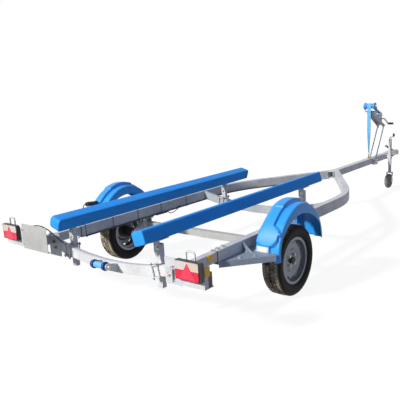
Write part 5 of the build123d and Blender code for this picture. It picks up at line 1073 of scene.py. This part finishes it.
# %% Fasteners at the front end and on the moving pieces
FRONT_BOLTS = [
    # as above: winch post clamp, winch arm, drum, coupling, and the pins of keel roller and bow roller
    (3.915, 0.052, 0.418, OUT, 0.020), (4.005, 0.052, 0.418, OUT, 0.020), (3.960, 0.052, 0.462, OUT, 0.022),
    (4.286, 0.046, 0.928, OUT, 0.020), (4.305, 0.040, 0.935, OUT, 0.016),
    (4.1932, 0.036, 1.0821, OUT, 0.019),
    (4.605, 0.046, 0.465, OUT, 0.019), (4.636, 0.046, 0.465, OUT, 0.019),
    (-1.087, 0.089, 0.398, OUT, 0.021), (3.880, 0.088, 1.230, OUT, 0.021),
]
JOCKEY_Y = -0.100
JOCKEY_BOLTS = [(at(x, -0.048, z), IN, 0.013) for x in (4.369, 4.431) for z in (0.443, 0.487)]
EYE_BOLTS = [(at(x, 0, 0.511), UP, 0.011) for x in (3.81803, 3.87197)]
FORK_NUTS = [(at(4.358, JOCKEY_Y + end * 0.043, 0.105), (0, end, 0), 0.017) for end in LEFT_RIGHT]
fasten("front_bolts", both_sides(FRONT_BOLTS) + JOCKEY_BOLTS + EYE_BOLTS, "chassis", BOLT_ZINC)
fasten("fork_nuts", FORK_NUTS, "jockey_castor", BOLT_ZINC)
NUT_CIRCLE, WHEEL_NUTS, WHEEL_NUT, DISC_FACE = 0.050, 4, 0.020, 0.935
for name, side in SIDES.items():
    turns = [2 * pi * (index + 0.5) / WHEEL_NUTS for index in range(WHEEL_NUTS)]
    rows = [(at(NUT_CIRCLE * cos(turn), side * DISC_FACE, AXLE_Z + NUT_CIRCLE * sin(turn)),
             (0, side, 0), WHEEL_NUT) for turn in turns]
    fasten(f"wheel_nuts_{name}", rows, f"wheel_{name}", BOLT_ZINC, stud=0.1, washer=0.62)

# %% [markdown]
# ## Grips, ties and cables
# Hands touch only black rubber: the winch handle, the jockey's knob and lever, and the coupling's lever
# with its red catch. A grip is a turned sleeve with rounded ends over its bar. The wiring is held to the
# left rail by ties, flat bands drawn round rail and conduit together. Short cables show at the left lamp,
# under the left rail and behind the left mudguard, the last two with a plug. Curve objects with a bevel
# could draw them, but the same tube that serves the hoops below keeps every piece a plain mesh.

# %% Turned grips
GRIP_BORE, GROOVE_HALF, GROOVE_DEPTH = 0.0005, 0.004, 0.0014


def grip(name, start, end, radius, finish=LAMP_BLACK):
    """A sleeve with rounded ends and three shallow finger grooves."""
    length = (end - start).length
    rounded = [(GRIP_BORE, 0.0), (radius - 0.003, 0.0), (radius - 0.0008, 0.001), (radius, 0.004)]
    profile = list(rounded)
    for groove in (length * 0.25, length * 0.5, length * 0.75):
        profile += [(radius, groove - GROOVE_HALF), (radius - GROOVE_DEPTH, groove),
                    (radius, groove + GROOVE_HALF)]
    profile += [(ring, length - along) for ring, along in reversed(rounded)]
    sleeve = Shape()
    sleeve.lathe(profile, start, end - start, 32)
    sleeve.piece(name, [finish], "chassis")


CRANK_X, CRANK_Z, CLAMP_Z = 4.3795, 0.9489, 0.465
lever_foot, lever_top = at(4.790, 0, 0.515), at(4.5054, 0, 0.606)
lever_way = (lever_top - lever_foot).normalized()
catch_start, grip_start, grip_end = (lever_foot + lever_way * distance for distance in (0.180, 0.206, 0.3005))
grip("winch_grip", at(CRANK_X, -0.080, CRANK_Z), at(CRANK_X, -0.149, CRANK_Z), 0.0155)
grip("jockey_knob", at(4.550, JOCKEY_Y, 0.750), at(4.550, JOCKEY_Y, 0.786), 0.0155)
grip("jockey_clamp_grip", at(4.478, JOCKEY_Y, CLAMP_Z), at(4.552, JOCKEY_Y, CLAMP_Z), 0.0090)
grip("coupling_grip", grip_start, grip_end, 0.0165)
grip("coupling_catch", catch_start, grip_start, 0.0150, LENS_RED)
RING_PROFILE = [(0.0243, 0.0), (0.0268, 0.0), (0.0275, 0.003), (0.0275, 0.013), (0.0268, 0.016),
                (0.0243, 0.016)]
ring = Shape()
ring.lathe(RING_PROFILE, at(4.400, JOCKEY_Y, 0.345), (0, 0, 1), 40, closed=True)
ring.piece("jockey_tube_ring", [BOLT_ZINC], "chassis")
print("five grips and a ring")

# %% Ties round the rail
TIE_PLACES = (-0.640, -0.329, -0.014, 0.305, 0.688)
TIE_WIDTH, TIE_WALL, TIE_SLOPE = 0.006, 0.0014, 1.4
TIE_OUTER, TIE_INNER, TIE_LOOM, TIE_LOW, TIE_HIGH = 0.7605, 0.6995, 0.6862, 0.4045, 0.5055
LOOM_Z, LOOM_REACH, LOOM_FACE = middle_of("wiring_loom").z, 0.013, 0.005


def tie_outline(x, wall):
    """A tie's line round rail and conduit, grown by a wall."""
    outer, inner, loom = TIE_OUTER + wall, TIE_INNER - wall, TIE_LOOM - wall
    low, high = TIE_LOW - wall, TIE_HIGH + wall
    reach, face = LOOM_REACH + wall / TIE_SLOPE, LOOM_FACE + wall / TIE_SLOPE
    return [at(x, y, z) for y, z in (
        (outer, high), (outer, low), (inner, low), (inner, LOOM_Z - reach), (loom, LOOM_Z - face),
        (loom, LOOM_Z + face), (inner, LOOM_Z + reach), (inner, high))]


ties = Shape()
for x in TIE_PLACES:
    ties.band(tie_outline, x, x + TIE_WIDTH, TIE_WALL)
ties.piece("cable_ties", [LOOM_BLACK], "chassis")
print("ties", len(TIE_PLACES))

# %% Cables and their plugs
CABLES = [
    # name, radius, points
    ("lamp_cable", 0.0045, [
        (-1.166, 0.800, 0.560), (-1.140, 0.760, 0.594), (-1.130, 0.690, 0.616), (-1.125, 0.610, 0.618),
        (-1.110, 0.540, 0.590), (-1.080, 0.515, 0.545), (-1.008, 0.520, 0.470)]),
    ("axle_cable", 0.0040, [
        (0.205, 0.690, 0.412), (0.300, 0.688, 0.408), (0.377, 0.688, 0.408), (0.422, 0.690, 0.385),
        (0.470, 0.690, 0.382), (0.513, 0.690, 0.394), (0.560, 0.690, 0.412), (0.596, 0.693, 0.430)]),
    ("guard_cable", 0.0040, [
        (-0.360, 0.930, 0.632), (-0.410, 0.930, 0.638), (-0.445, 0.930, 0.625), (-0.470, 0.930, 0.592),
        (-0.482, 0.930, 0.540), (-0.478, 0.930, 0.480), (-0.465, 0.930, 0.431)]),
]
PLUGS = [
    # name, ends, radius
    ("axle_cable_plug", (0.222, 0.688, 0.411), (0.372, 0.688, 0.408), 0.0105),
    ("guard_cable_plug", (-0.425, 0.930, 0.622), (-0.300, 0.930, 0.612), 0.0200),
]
CABLE_STEPS, CABLE_SIDES = 8, 10


def smooth_path(points):
    """A curve through the points (Catmull-Rom)."""
    ends = [2 * points[0] - points[1], *points, 2 * points[-1] - points[-2]]
    path = []
    for a, b, c, d in zip(ends, ends[1:], ends[2:], ends[3:]):
        for t in (step / CABLE_STEPS for step in range(CABLE_STEPS)):
            path.append(0.5 * (2 * b + (c - a) * t + (2 * a - 5 * b + 4 * c - d) * t * t
                               + (3 * b - a - 3 * c + d) * t ** 3))
    return path + [points[-1]]


for name, radius, points in CABLES:
    cable = Shape()
    cable.tube(smooth_path([at(*point) for point in points]), radius, CABLE_SIDES)
    cable.piece(name, [LOOM_BLACK], "chassis")
for name, start, end, radius in PLUGS:
    grip(name, at(*start), at(*end), radius, LOOM_BLACK)
print("cables", len(CABLES), "and plugs", len(PLUGS))

# %% [markdown]
# ## Lamp hoops
# A bent rod stands over each lamp and takes the knock when the trailer is backed against something. In
# the picture it is about 12 mm thick, more than the rod of the solid, so a thicker rod is drawn along the
# same line. Swelling the solid's mesh along its normals would thicken its plate too.

# %% Thicker rods over the lamp hoops
HOOP_X, HOOP_Y, HOOP_HALF = -1.171, 0.9375, 0.033
HOOP_FOOT, HOOP_TOP, HOOP_BEND, HOOP_RADIUS, HOOP_SIDES = 0.604, 0.663, 0.014, 0.0062, 14
HOOP_TURNS = [radians(15 * step) for step in range(7)]
hoop_half = [(-HOOP_HALF, HOOP_FOOT)] + [
    (-HOOP_HALF + HOOP_BEND * (1 - cos(turn)), HOOP_TOP - HOOP_BEND * (1 - sin(turn))) for turn in HOOP_TURNS]
hoop_line = hoop_half + [(-across, height) for across, height in reversed(hoop_half)]
for name, side in SIDES.items():
    path = [at(HOOP_X, side * HOOP_Y + across, height) for across, height in hoop_line]
    hoop = Shape()
    hoop.tube(path, HOOP_RADIUS, HOOP_SIDES)
    hoop.piece(f"lamp_hoop_{name}", [GALVANISED], "chassis")
print("lamp hoops", len(SIDES))
